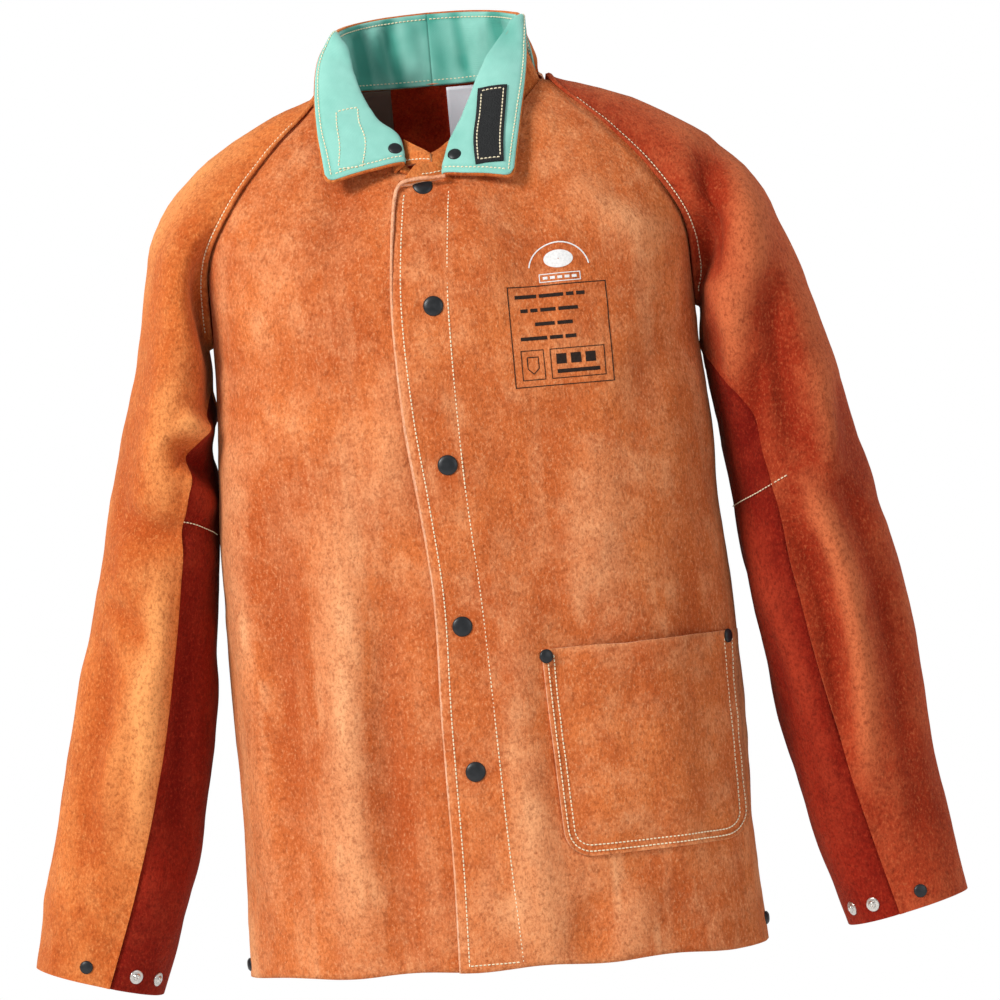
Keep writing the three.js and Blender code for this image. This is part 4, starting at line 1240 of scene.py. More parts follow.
@dataclass
class Print:
    """Generic chest print: a plain white mark over a ruled black box with bars for lines."""

    body: Body
    left: float = 50
    right: float = 138
    low: float = 510
    high: float = 599
    thickness: float = 0.3

    def ribbon(self, path: Sequence[Pair], width: float) -> tuple[Array, list[list[int]]]:
        """A flat line of ink along a path on the leather, as a closed thin solid."""
        path = np.asarray(path, float)
        step = np.linalg.norm(np.diff(path, axis=0), axis=1)
        place = np.concatenate([[0], np.cumsum(step)])
        s = np.unique(np.concatenate([place, np.arange(0, place[-1], 3.0)]))
        p = np.stack([np.interp(s, place, path[:, k]) for k in (0, 1)], -1)
        ahead = unit(np.gradient(p, axis=0))
        side = np.stack([-ahead[:, 1], ahead[:, 0]], -1) * width / 2
        strip = np.stack([p - side, p + side], axis=1)
        return self.slab(strip)

    def slab(self, strip: Array) -> tuple[Array, list[list[int]]]:
        """A thin closed solid over a grid of x and height."""
        spot, out = self.body.front_spot(strip[..., 0], strip[..., 1], True)
        top, low = spot + out * self.thickness, spot - out * 0.4
        rows, columns = strip.shape[:2]
        index = np.arange(rows * columns).reshape(rows, columns)
        total = rows * columns
        faces: list[list[int]] = []
        for j in range(rows - 1):
            for i in range(columns - 1):
                a, b, c, d = index[j, i], index[j, i + 1], index[j + 1, i + 1], index[j + 1, i]
                faces.append([a, b, c, d])
                faces.append([d + total, c + total, b + total, a + total])
        loop = [*index[0, :], *index[1:, -1], *index[-1, -2::-1], *index[-2:0:-1, 0]]
        for a, b in zip(loop, loop[1:] + loop[:1]):
            faces.append([b, a, a + total, b + total])
        return np.concatenate([top.reshape(-1, 3), low.reshape(-1, 3)]), faces

    def gather(self, name: str, parts: Sequence[tuple[Array, list[list[int]]]],
               finish: Finish) -> None:
        """Joins the parts of one colour into a piece."""
        points, faces, offset = [], [], 0
        for p, f in parts:
            points.append(p)
            faces += [[i + offset for i in face] for face in f]
            offset += len(p)
        piece = mesh_object(name, np.concatenate(points), faces, smooth=False)
        complete(piece, (finish,), self.body.left_motion, None)

    def bar(self, x: float, height: float, length: float, thick: float) -> tuple:
        """One bar of ink."""
        return self.ribbon(((x, height), (x + length, height)), thick)

    def box(self, x0: float, h0: float, x1: float, h1: float, width: float) -> list[tuple]:
        """Four lines round a box."""
        w = width / 2
        return [
            self.ribbon(((x0 - w, h0), (x1 + w, h0)), width),
            self.ribbon(((x0 - w, h1), (x1 + w, h1)), width),
            self.ribbon(((x0, h0), (x0, h1)), width),
            self.ribbon(((x1, h0), (x1, h1)), width),
        ]

    def build(self) -> None:
        """The white mark and the black box."""
        middle = (self.left + self.right) / 2 + 4
        mark_height = 622
        angle = np.linspace(0, 2 * math.pi, 30)
        disc = np.stack([
            np.stack([middle + r * 13 * np.cos(angle), mark_height + r * 8 * np.sin(angle)], -1)
            for r in (0.05, 0.55, 1.0)
        ])
        white = [self.slab(disc)]
        arc = np.linspace(0.15, math.pi - 0.15, 22)
        white.append(self.ribbon(
            np.stack([middle + 27 * np.cos(arc), mark_height - 10 + 25 * np.sin(arc)], -1), 1.1))
        white += self.box(middle - 18, mark_height - 20, middle + 18, mark_height - 13, 0.7)
        for k in range(5):
            white.append(self.bar(middle - 15 + 6.4 * k, mark_height - 16.5, 4.2, 2.4))
        self.gather("chest_mark_white", white, WHITE)

        ink = self.box(self.left, self.low, self.right, self.high, 0.8)
        for row, (start, lengths) in enumerate((
            (6, (22, 24, 9, 10)), (10, (9, 9, 16, 20)), (22, (20, 16)), (8, (26, 14, 12)),
        )):
            x = self.left + start
            for length in lengths:
                ink.append(self.bar(x, self.high - 9 - 12.5 * row, length - 2.5, 3.2))
                x += length
        low, wide = self.low + 6, (self.right - self.left)
        ink += self.box(self.left + 7, low, self.left + 27, low + 26, 0.7)
        ink += self.box(self.left + 33, low, self.left + wide - 7, low + 26, 0.7)
        ink.append(self.ribbon(((self.left + 12, low + 20), (self.left + 12, low + 10),
                                (self.left + 17, low + 5), (self.left + 22, low + 10),
                                (self.left + 22, low + 20), (self.left + 12, low + 20)), 0.8))
        for k in range(3):
            ink.append(self.bar(self.left + 38 + 13 * k, low + 17, 9, 9))
        ink.append(self.bar(self.left + 38, low + 6, 38, 3.4))
        self.gather("chest_print_black", ink, INK)


# ---------- sleeves ----------
RIGHT_FOLDS = (
    Fold(((-206, 640), (-240, 560), (-270, 490)), -4.0, 14, 22),
    Fold(((-212, 616), (-262, 520), (-288, 410)), 5.0, 20),
    Fold(((-253, 665), (-287, 532), (-315, 410)), -3.5, 18),
    Fold(((-266, 494), (-240, 470), (-222, 440)), -7.0, 9, 16),
    Fold(((-252, 516), (-232, 500), (-212, 508)), 6.0, 10),
    Fold(((-256, 470), (-238, 448), (-226, 420)), 6.0, 12),
    Fold(((-330, 440), (-290, 415), (-236, 410)), -4.0, 12),
    Fold(((-278, 400), (-303, 262), (-333, 110)), 5.5, 18, 12),
    Fold(((-252, 380), (-275, 250), (-300, 100)), -5.5, 15),
    Fold(((-328, 360), (-357, 213), (-380, 70)), -4.5, 16),
    Fold(((-300, 300), (-345, 200), (-370, 90)), 3.5, 14),
    Fold(((-340, 350), (-320, 340), (-290, 300)), -3.0, 10),
)
LEFT_FOLDS = (
    Fold(((240, 720), (238, 660), (226, 590)), -9.0, 14, 10),
    Fold(((262, 700), (268, 620), (254, 540)), 4.5, 16),
    Fold(((290, 600), (289, 507), (298, 420)), -7.0, 11, 16),
    Fold(((246, 600), (250, 540), (246, 490)), 5.0, 11),
    Fold(((270, 520), (262, 480), (250, 430)), -5.0, 10),
    Fold(((318, 580), (322, 480), (330, 400)), 4.0, 14),
    Fold(((298, 420), (330, 295), (336, 110)), 7.0, 15, 11),
    Fold(((276, 400), (308, 290), (312, 130)), -6.0, 12),
    Fold(((327, 440), (366, 300), (378, 65)), -4.5, 15),
    Fold(((350, 430), (378, 300), (392, 150)), 3.5, 12),
    Fold(((242, 394), (275, 263), (312, 89)), 3.5, 10),
    Fold(((340, 500), (352, 420), (366, 360)), -3.0, 14),
)


@dataclass
class Sleeve:
    """One raglan sleeve, with its under-sleeve, cuff facing, snaps and thread.

    Attributes:
        side: left or right, as the wearer sees it.
        split: Place along the sleeve where its two bending lengths meet.
        columns: Points round it.
        elbow: Place of the elbow.
        shoulder: Place where the bend of the shoulder starts.
        roundness: Power of the rounded outline of each section.
        shoulder_pull: How far the shoulder keeps its direction at either end.
        section_length: Distance from one section to the next.
        radius: Mean radius of the sleeve.
        cell: Size of the facets along it.
        sections: Outer x and height, inner x and height, and depth of each section.
        upper_motion: How the upper sleeve bends.
        lower_motion: How the forearm bends.
    """

    side: str
    split: float = 2.2
    columns: int = 96
    elbow: float = 3.25
    shoulder: float = 0.55
    roundness: float = 2.3
    shoulder_pull: float = 0.9
    section_length: float = 84
    radius: float = 62
    cell: float = 5
    sections: tuple = field(init=False)
    upper_motion: Motion = field(init=False)
    lower_motion: Motion = field(init=False)

    RIGHT = ((264, 655, 223, 548, 178), (283, 580, 226, 505, 172), (307, 500, 229, 455, 166),
             (329, 420, 233, 390, 158), (349, 340, 238, 312, 150), (370, 260, 246, 232, 144),
             (391, 180, 264, 146, 138), (411, 100, 287, 64, 132), (428, 28, 314, -7, 126))
    LEFT = ((290, 655, 223, 548, 178), (317, 580, 226, 505, 172), (340, 500, 231, 460, 166),
            (359, 420, 238, 392, 158), (375, 340, 243, 316, 150), (387, 260, 251, 238, 144),
            (395, 180, 266, 156, 138), (406, 96, 284, 76, 132), (416, 24, 304, 0, 126))
    CUFF_INSET = 15
    ELBOW_SEAM = {
        "right": ((-259, 420), (-247, 415), (-232, 405)),
        "left": ((236, 388), (258, 398), (287, 413)),
    }

    def __post_init__(self) -> None:
        """Lays out the sections and how the sleeve bends."""
        rows = self.LEFT if self.side == "left" else self.RIGHT
        self.sections = tuple((i, *row) for i, row in enumerate(rows))
        self.sign = 1 if self.side == "left" else -1
        self.last = len(rows) - 1
        start = self.middle(self.shoulder)
        ahead = unit(self.middle(self.shoulder + 1.2) - start)
        self.upper_motion = Motion(
            "torso", f"{self.side}_upper_sleeve", start - 8 * ahead, start + 122 * ahead)
        bend = self.middle(self.elbow)
        ahead = unit(self.middle(self.elbow + 1) - self.middle(self.elbow - 1))
        self.lower_motion = Motion(
            f"{self.side}_upper_sleeve", f"{self.side}_forearm", bend - 58 * ahead,
            bend + 58 * ahead)
        self.folds = LEFT_FOLDS if self.side == "left" else RIGHT_FOLDS

    def ends(self, place: Array) -> tuple[Array, Array, Array]:
        """Outer edge, inner edge and depth of the sleeve at a place."""
        values = along(self.sections, np.clip(place, 0, self.last))
        zero = np.zeros_like(values[..., 0])
        lower = smoothstep(place, 2.6, 5)
        values = values + np.stack([3.5 + zero, zero, 4.5 * lower, zero, zero], -1)
        outer = np.stack([self.sign * values[..., 0], zero, values[..., 1]], -1)
        inner = np.stack([self.sign * values[..., 2], zero, values[..., 3]], -1)
        return outer, inner, values[..., 4]

    def middle(self, place: float) -> Array:
        """Middle of the sleeve at a place."""
        outer, inner, _ = self.ends(np.array(place))
        return (outer + inner) / 2

    def tube(self, place: Array, angle: Array) -> Array:
        """Points below the shoulder; angle nought is the outer side, pi next to the body."""
        outer, inner, depth = self.ends(place)
        e = 2 / self.roundness
        across = (outer - inner) / 2 * power(np.cos(angle), e)[..., None]
        out = np.zeros_like(across)
        out[..., 1] = 0.5 * depth * power(-np.sin(angle), e)
        return (outer + inner) / 2 + across + out

    def base(self, reach: Array, angle: Array) -> Array:
        """Points of the whole sleeve: reach nought is the raglan seam, 1 the first section."""
        reach, angle = np.broadcast_arrays(np.asarray(reach, float), np.asarray(angle, float))
        start = FORM.raglan_loop(self.sign, angle)
        to = self.tube(np.zeros_like(reach), angle)
        ahead = unit(self.tube(np.full_like(reach, 0.5), angle) - to)
        span = np.linalg.norm(to - start, axis=-1, keepdims=True)
        away = unit(np.array([self.sign, 0.0, -0.32]))
        t = np.clip(reach, 0, 1)[..., None]
        pull = self.shoulder_pull * span
        head = hermite(t, start, away * pull, to, ahead * pull)
        return np.where(reach[..., None] < 1, head, self.tube(reach - 1, angle))

    def relief(self, points: Array, reach: Array, angle: Array, normals: Array) -> Array:
        """How far the leather stands off the base shape."""
        x, h = points[..., 0], points[..., 2]
        front = smoothstep(-normals[..., 1], -0.15, 0.45)
        rear = smoothstep(normals[..., 1], -0.15, 0.45)
        folds = front * lift_of(self.folds, x, h)
        mirrored = lift_of(self.folds, x + self.sign * 10, h - 14)
        folds = folds + 0.8 * rear * mirrored
        skew = points @ np.array([[1, 0, 0.25 * self.sign], [0, 1, 0], [-0.25 * self.sign, 0, 1]])
        sway = 2.6 * GRAIN(skew + 90, (52, 52, 150)) + 1.6 * GRAIN(skew, (30, 30, 46))
        lumps = 0.5 * FINE(points, (15, 15, 18))
        outside = np.minimum(angle, 2 * math.pi - angle)
        crown = 6.5 * np.exp(-((outside / 0.9) ** 2)) * smoothstep(reach, 0.06, 0.5)
        crown = crown * (1 - smoothstep(reach, 1.2, 2.6))
        calm = smoothstep(reach, 0.08, 0.5)
        cuff = 1 - 0.6 * smoothstep(reach, self.last + 0.4, self.last + 1)
        fold_calm = smoothstep(reach, 0.05, 0.22)
        return sway * calm * cuff + 1.8 * folds * fold_calm * cuff + lumps + crown

    def seam_angle(self, reach: Array, front: bool) -> Array:
        """Angle of the seam between the sleeve and the under-sleeve."""
        table = ((0, 180), (1.15, 179), (1.6, 160), (2.4, 132), (3.4, 116), (5, 112), (9, 100))
        angle = along(table, reach)[..., 0]
        return np.radians(angle if front else 360 - angle)

    def surface(self, reach: Array, angle: Array) -> tuple[Array, Array, Array]:
        """Outer points, outward directions and lift of the leather.

        Args:
            reach: Places along the sleeve, one for each row.
            angle: Angles round it, a grid.

        Returns:
            Points, directions and how far each stands off the base.
        """
        reach = np.broadcast_to(np.asarray(reach, float), angle.shape)
        base = self.base(reach, angle)
        step = 0.01
        around = self.base(reach, angle + step) - self.base(reach, angle - step)
        down = self.base(reach + step, angle) - self.base(np.maximum(reach - step, 0), angle)
        out = unit(np.cross(around, down)) * self.sign
        rise = self.relief(base, reach, angle, out)
        return base + out * rise[..., None], out, rise

    def shoulder_span(self, angle: Array) -> Array:
        """Length of the shoulder, from the raglan seam to the first section."""
        return np.linalg.norm(
            self.tube(np.zeros_like(angle), angle) - FORM.raglan_loop(self.sign, angle), axis=-1)

    def seam_ridge(self, reach: Array, angle: Array) -> Array:
        """The rolled edge that stands up along the raglan seam."""
        distance = reach * self.shoulder_span(angle)
        roll = np.sqrt(np.clip(1 - ((distance - 4.5) / 4.5) ** 2, 0, 1)) * (distance < 9)
        groove = np.exp(-(((distance - 8.5) / 2.2) ** 2))
        return 2.0 * roll - 0.8 * groove + 0.9 * (1 - smoothstep(distance, 0, 14))

    def rows(self, low: float, high: float) -> Array:
        """Reaches from low to high, closer together at the raglan seam."""
        if low > 0:
            return np.linspace(
                low, high, max(2, int((high - low) * self.section_length / self.cell)))
        near = np.linspace(0, 0.16, 14)
        far = np.linspace(0.16, high, int(high * self.section_length / self.cell))
        return np.concatenate([near, far[1:]])

    def strip(self, name: str, low: float, high: float, under: bool, motion: Motion,
              replaced: Sequence[str]) -> None:
        """One length of sleeve or under-sleeve.

        Args:
            name: Name of the piece.
            low: Reach at its top.
            high: Reach at its lower end.
            under: Whether it is the under-sleeve, whose darker leather also carries painted shade.
            motion: How it bends.
            replaced: Nodes of the frame that it stands for.
        """
        extra = 0.02
        reach = self.rows(low, high)
        padded = np.concatenate([[max(low - extra, 0)], reach, [min(high + extra, 9)]])
        front = self.seam_angle(padded, True)
        back = self.seam_angle(padded, False)
        if under:
            start, end, count = front, back, self.columns // 3
        else:
            start, end, count = back, front + 2 * math.pi, self.columns
        u = 0.5 - 0.5 * np.cos(np.linspace(0, math.pi, count))
        u = 0.5 * u + 0.5 * np.linspace(0, 1, count)
        angle = start[:, None] + (end - start)[:, None] * u
        turned = np.mod(angle, 2 * math.pi)
        grid = np.broadcast_to(padded[:, None], angle.shape)
        outer, out, rise = self.surface(grid, turned)
        edge = np.minimum(angle - start[:, None], end[:, None] - angle) * self.radius
        # Painted light and shade of the folds: lighter on crests, darker in hollows, and a little
        # darker overall.
        wear_and_painted_light = rise / 8.5 - 0.1
        lift = np.zeros_like(rise)
        if under:
            lift -= 1.6 * (1 - smoothstep(edge, 0, 5))
            # Painted shade where the under-sleeve's edge tucks beneath the top sleeve.
            wear_and_painted_light = wear_and_painted_light - 0.5 * (1 - smoothstep(edge, 0, 4))
        else:
            lift += (1.5 * (1 - smoothstep(edge, 0, 7)) + 0.2) * smoothstep(grid, 0.9, 1.4)
            ridge = self.seam_ridge(grid, turned)
            lift += ridge
            wear_and_painted_light = wear_and_painted_light + 0.10 * ridge
        outer = outer + out * lift[..., None]
        shade = grid_normals(outer)
        flip = np.sign((shade * out).sum(-1, keepdims=True))
        shade = shade * flip
        outer, shade, wear_and_painted_light = outer[1:-1], shade[1:-1], wear_and_painted_light[1:-1]
        inner = outer - shade * LEATHER
        piece = sheet_object(name, outer, inner, wear_and_painted_light=wear_and_painted_light, normals=shade)
        nap = BRIGHT if self.side == "right" else RUSSET
        # The under-sleeve's finish is darker leather with painted shade on top of it.
        complete(piece, (UNDER_DARK_AND_SHADED if under else nap, FLESH, UNDER_DARK_AND_SHADED if under else nap), motion,
                 "dark_leather" if under else "split_leather", *replaced)

    def build_facing(self) -> None:
        """The strip sewn inside the cuff."""
        reach = np.linspace(self.last + 0.44, self.last + 0.99, 8)
        angle = np.linspace(0, 2 * math.pi, self.columns, endpoint=False)
        grid = np.broadcast_to(angle, (len(reach), len(angle)))
        outer, out, _ = self.surface(reach[:, None], grid)
        outer = outer - out * (LEATHER + 0.7)
        piece = sheet_object(f"{self.side}_cuff_lining", outer, outer - out * 1.2, ring=True)
        complete(piece, (FLESH, FLESH, CUT), f"{self.side}_forearm",
                 "dark_leather", f"{self.side}_cuff_facing")

    def build_snaps(self) -> None:
        """One black cap and two steel studs at the cuff."""
        step = np.linalg.norm(self.middle(self.last) - self.middle(self.last - 1))
        reach = self.last + 1 - self.CUFF_INSET / step
        cap = ((0, -2), (6, -2), (6, 0.9), (5, 1.9), (2.4, 2.5), (0, 2.6))
        stud = ((0, -2), (6.5, -2), (6.5, 0.7), (5.9, 1.1), (3.5, 1.2), (3.2, 2.6), (2.4, 3.3),
                (1.2, 3.3), (1.1, 2.7), (0, 2.7))
        for name, node, profile, finish, slot, angle in (
            ("cuff_snap", "cuff_cap", cap, ENAMEL, "black_snap", 1.42),
            ("cuff_post_1", "cuff_stud_1", stud, NICKEL, "steel_snap", 2.12),
            ("cuff_post_2", "cuff_stud_2", stud, NICKEL, "steel_snap", 2.62),
        ):
            spot, out, _ = self.surface(np.array([[reach]]), np.array([[angle]]))
            piece = turned_object(f"{self.side}_{name}", profile, spot[0, 0], out[0, 0], 32)
            complete(piece, (finish,), f"{self.side}_forearm", slot, f"{self.side}_{node}")

    def build_thread(self) -> None:
        """Top-stitching of the raglan seam."""
        thread = Thread(radius=0.55)
        for low, high in ((14, 168), (192, 346)):
            angle = np.radians(np.linspace(low, high, 160))
            reach = 8.6 / self.shoulder_span(angle)
            spot, out, _ = self.surface(reach[None], angle[None])
            ridge = self.seam_ridge(reach, angle)
            thread.sew(spot[0] + out[0] * (ridge[:, None] + 0.1), out[0])
        thread.complete(f"{self.side}_raglan_thread", self.upper_motion)

    def build_elbow_thread(self) -> None:
        """The short sewn seam across the inside of the elbow."""
        reach, angle = np.meshgrid(
            np.linspace(2.2, 5.2, 150), np.radians(np.linspace(40, 178, 110)))
        points, _, _ = self.surface(reach, angle)
        spots = []
        for x, height in self.ELBOW_SEAM[self.side]:
            gap = np.hypot(points[..., 0] - x, points[..., 2] - height)
            nearest = np.unravel_index(gap.argmin(), gap.shape)
            spots.append((len(spots), reach[nearest], angle[nearest]))
        line = along(spots, np.linspace(0, len(spots) - 1, 60))
        spot, out, _ = self.surface(line[:, 0], line[:, 1])
        thread = Thread(radius=0.5)
        thread.sew(spot + out * 0.9, out)
        thread.complete(f"{self.side}_elbow_thread", self.lower_motion)

    def build(self) -> None:
        """Every piece of the sleeve."""
        side, split, end = self.side, self.split + 1, self.last + 1
        self.strip(f"{side}_sleeve_upper", 0, split, False, self.upper_motion,
                   (f"{side}_sleeve_head", f"{side}_shoulder_gusset", f"{side}_upper_top_sleeve"))
        self.strip(f"{side}_sleeve_lower", split, end, False, self.lower_motion,
                   (f"{side}_lower_top_sleeve", f"{side}_elbow_gusset"))
        self.strip(f"{side}_undersleeve_upper", 1.2, split, True, self.upper_motion,
                   (f"{side}_upper_under_sleeve",))
        self.strip(f"{side}_undersleeve_lower", split, end, True, self.lower_motion,
                   (f"{side}_lower_under_sleeve",))
        self.build_facing()
        self.build_snaps()
        self.build_thread()
        self.build_elbow_thread()


# ---------- collar ----------
@dataclass
class Collar:
    """One half of the collar: it stands round the neck and falls open at the front.

    Attributes:
        side: left or right, as the wearer sees it.
        roll: Points of the roll line, from the front end upwards, as x and height.
        edge: The points of the outer edge that face them.
        snap: Place of the snap, as x and height.
        patch: Corners of the hook tape, or of the sewn box that holds the loop tape.
        plane_y: Depth of the plane of the fallen part, at plane_height.
        plane_slope: How far that plane runs back for each millimetre up.
        plane_height: Height at which plane_y is taken.
        foot_height: Height of the neck seam at the back.
        top_height: Height of the roll line at the side of the neck.
        back_rise: How much higher the back of the stand is.
        cloth: Thickness of the lining.
        hem: Distance of the thread from the free edges.
        breadth: Breadth of the fallen part.
        tip_radius: Radius of the tip's corners.
        top_half: Half width of the stand at its top.
        neck_seam: Points of the neck seam, from the front.
    """

    side: str
    roll: tuple[Pair, ...]
    edge: tuple[Pair, ...]
    snap: Pair
    patch: tuple[Pair, ...]
    plane_y: float = -118
    plane_slope: float = 0.645
    plane_height: float = 705
    foot_height: float = 799
    top_height: float = 851
    back_rise: float = 18
    cloth: float = 1.5
    hem: float = 7.0
    breadth: float = 92
    tip_radius: float = 9.0
    top_half: float = 84.0
    neck_seam: tuple = (
        (2, -108, 702), (45, -93, 724), (63, -78, 747), (88, -52, 778), (97, -38, 790),
        (97, -26, 791),
    )

    def __post_init__(self) -> None:
        """Works out the ribs and how this half bends."""
        self.sign = 1 if self.side == "left" else -1
        self.motion = Motion(
            "torso", f"{self.side}_collar_tip", (0, -20, 760), (0, -60, 760))
        self.ribs = self.make_ribs()
        step = np.linalg.norm(np.diff(self.ribs[:, 2:].mean(axis=1), axis=0), axis=1)
        self.place = np.concatenate([[0], np.cumsum(step)])
        self.length = self.place[-1]
        u, v = np.meshgrid(np.linspace(0, 0.62, 160), np.linspace(0.2, 1, 60))
        self.lookup = (u, v, self.point(u, v))

    def on_plane(self, x: float, height: float, out: float) -> tuple[float, float, float]:
        """A point of the fallen collar, out in front of its plane."""
        y = self.plane_y + self.plane_slope * (height - self.plane_height)
        return x, y - 0.84 * out, height + 0.54 * out

    def make_ribs(self) -> Array:
        """Ribs from the neck seam to the outer edge, each of five points, front to back."""
        ribs = []
        for (rx, rh), (ex, eh), gap in zip(self.roll, self.edge, (8, 8, 9, 9, 9, 9)):
            tuck = self.on_plane(rx + self.sign * gap, rh - 3, -gap)
            mid = ((2 * rx + ex) / 3, (2 * rh + eh) / 3)
            far = ((rx + 2 * ex) / 3, (rh + 2 * eh) / 3)
            ribs.append([tuck, self.on_plane(rx, rh, 0.6), self.on_plane(*mid, 0.42 * gap),
                         self.on_plane(*far, 0.42 * gap), self.on_plane(ex, eh, 0.0)])
        for angle in np.radians((-4, 18, 42, 66, 90)):
            foot = np.array([95 * math.cos(angle), 65.5 * math.sin(angle), self.foot_height])
            lean = self.top_height + self.back_rise * math.sin(max(angle, 0))
            top = np.array([self.top_half * math.cos(angle), 86 * math.sin(angle), lean])
            rib = [foot + (top - foot) * t for t in (0, 0.25, 0.5, 0.75, 1)]
            ribs.append([(self.sign * x, y, h) for x, y, h in rib])
        return np.array(ribs, float)

    def point(self, place: Array, share: Array) -> Array:
        """Points of the collar's leather, on the lining's side.

        Args:
            place: Distance from the front end, as a share of the half's length.
            share: Place from the neck seam, nought, to the outer edge, 1.

        Returns:
            The points.
        """
        count = self.ribs.shape[1]
        s = np.asarray(place) * self.length
        stack = np.stack([
            along([(p, *rib[k]) for p, rib in zip(self.place, self.ribs)], s)
            for k in range(count)
        ], axis=-2)
        t = np.clip(np.asarray(share), 0, 1)[..., None] * (count - 1)
        k = np.clip(t.astype(int), 0, count - 2)
        slope = np.gradient(stack, axis=-2)

        def pick(table: Array, which: Array) -> Array:
            """The rows of a table by their number along each rib."""
            return np.take_along_axis(table, which[..., None], axis=-2)[..., 0, :]

        return hermite(t - k, pick(stack, k), pick(slope, k), pick(stack, k + 1),
                       pick(slope, k + 1))

    def find(self, x: float, height: float) -> Pair:
        """Place and share of the spot of the fallen part seen at an x and a height."""
        u, v, points = self.lookup
        gap = np.hypot(points[..., 0] - x, points[..., 2] - height)
        nearest = np.unravel_index(gap.argmin(), gap.shape)
        return float(u[nearest]), float(v[nearest])

    def surface(self, place: Array, share: Array) -> tuple[Array, Array]:
        """Points of the lining's side of the leather, and the direction that it faces."""
        place, share = np.broadcast_arrays(np.asarray(place, float), np.asarray(share, float))
        here = self.point(place, share)
        step = 0.004
        along_it = self.point(np.minimum(place + step, 1), share) - self.point(
            np.maximum(place - step, 0), share)
        across = self.point(place, np.minimum(share + step, 1)) - self.point(
            place, np.maximum(share - step, 0))
        out = unit(np.cross(across, along_it)) * self.sign
        standing_up = smoothstep(place, 0.34, 0.55) * (1 - smoothstep(place, 0.93, 1))
        free = smoothstep(share, 0.02, 0.25) * (1 - smoothstep(share, 0.72, 0.95))
        mirrored = here * (self.sign, 1, 1)
        rise = 2.2 * standing_up * free * GRAIN(mirrored + 300 + 90 * self.sign, (15, 15, 40))
        rise = rise + standing_up * free * self.creases(here)
        rise = rise + 0.7 * GRAIN(here + 300, (17, 17, 24)) * (1 - smoothstep(place, 0.93, 1))
        rise = rise + 0.25 * FINE(here, (7, 7, 7)) * (1 - smoothstep(place, 0.93, 1))
        return here + out * rise[..., None], out

    def creases(self, points: Array) -> Array:
        """Soft upright folds of the standing part."""
        x = points[..., 0] + 0.12 * (points[..., 2] - 830)
        total = np.zeros_like(x)
        for at, rise, width in ((-66, -4.5, 8), (-48, 4.0, 7), (-34, -4.2, 7), (-14, 2.5, 8),
                                (6, -2.6, 9), (30, -3.2, 6), (48, 3.0, 9), (70, -3.0, 8)):
            total = total + rise * np.exp(-(((x - at) / width) ** 2))
        return total

    def width(self, place: Array) -> Array:
        """Breadth of the whole collar at a place."""
        return self.breadth - 22 * smoothstep(place, 0.35, 0.5)

    def outline(self, columns: int, rows: int, inset: float) -> tuple[Array, Array]:
        """Grid of places and shares, drawn in from the free edges and round at the tip."""
        v = np.linspace(0, 1, rows)[:, None]
        u = np.linspace(0, 1, columns)[None, :] ** 0.95
        radius = self.tip_radius
        past = np.clip(v * self.breadth - (self.breadth - radius), 0, radius)
        first = (radius - np.sqrt(np.maximum(radius ** 2 - past ** 2, 0)) + inset) / self.length
        place = first + (1 - first) * u
        return place, v * (1 - inset / self.width(place))

    def build(self) -> None:
        """Leather, lining, thread, patch and snap of this half."""
        columns, rows = 130, 40
        left = self.side == "left"
        place, share = self.outline(columns, rows, 0.0)
        face, out = self.surface(place, share)
        leather = sheet_object(f"{self.side}_collar_shell", face - out * LEATHER, face)
        dress(leather, BRIGHT, BRIGHT, BRIGHT)
        self.motion.bend(leather)
        stand = ("collar_stand_leather",) if left else ()
        hand_in(leather, "split_leather", f"{self.side}_collar_leather", *stand)

        place, share = self.outline(columns, rows, 1.7)
        face, out = self.surface(place, share)
        edge = np.minimum((1 - share) * self.width(place), place * self.length)
        puff = self.cloth + 0.3 - 0.8 * np.exp(-(((edge - self.hem) / 2.0) ** 2))
        puff = puff * smoothstep(edge, 0.5, 4) + 0.25
        creases = GRAIN(face * (self.sign, 1, 1) + 300 + 90 * self.sign, (15, 15, 40))
        standing_up = smoothstep(place, 0.34, 0.6)
        # Painted shade in the stitch groove near the free edges.
        wear_and_painted_light = -0.3 * np.exp(-(((edge - self.hem) / 2.2) ** 2))
        # Painted shade in the hollows of the creases, and over the whole standing part inside the
        # neck.
        dark = np.clip(creases, -1, 0) + 0.26 * np.clip(self.creases(face), -9, 0)
        wear_and_painted_light = wear_and_painted_light + 0.8 * standing_up * dark - 0.2 * standing_up
        cloth = sheet_object(
            f"{self.side}_collar_cloth", face + out * puff[..., None], face + out * 0.1, wear_and_painted_light=wear_and_painted_light)
        dress(cloth, MINT, MINT, MINT)
        self.motion.bend(cloth)
        stand = ("collar_stand_lining",) if left else ()
        hand_in(cloth, "mint_lining", f"{self.side}_collar_lining", *stand)
        self.build_band()
        self.build_thread()
        self.build_patch()
        self.build_snap()

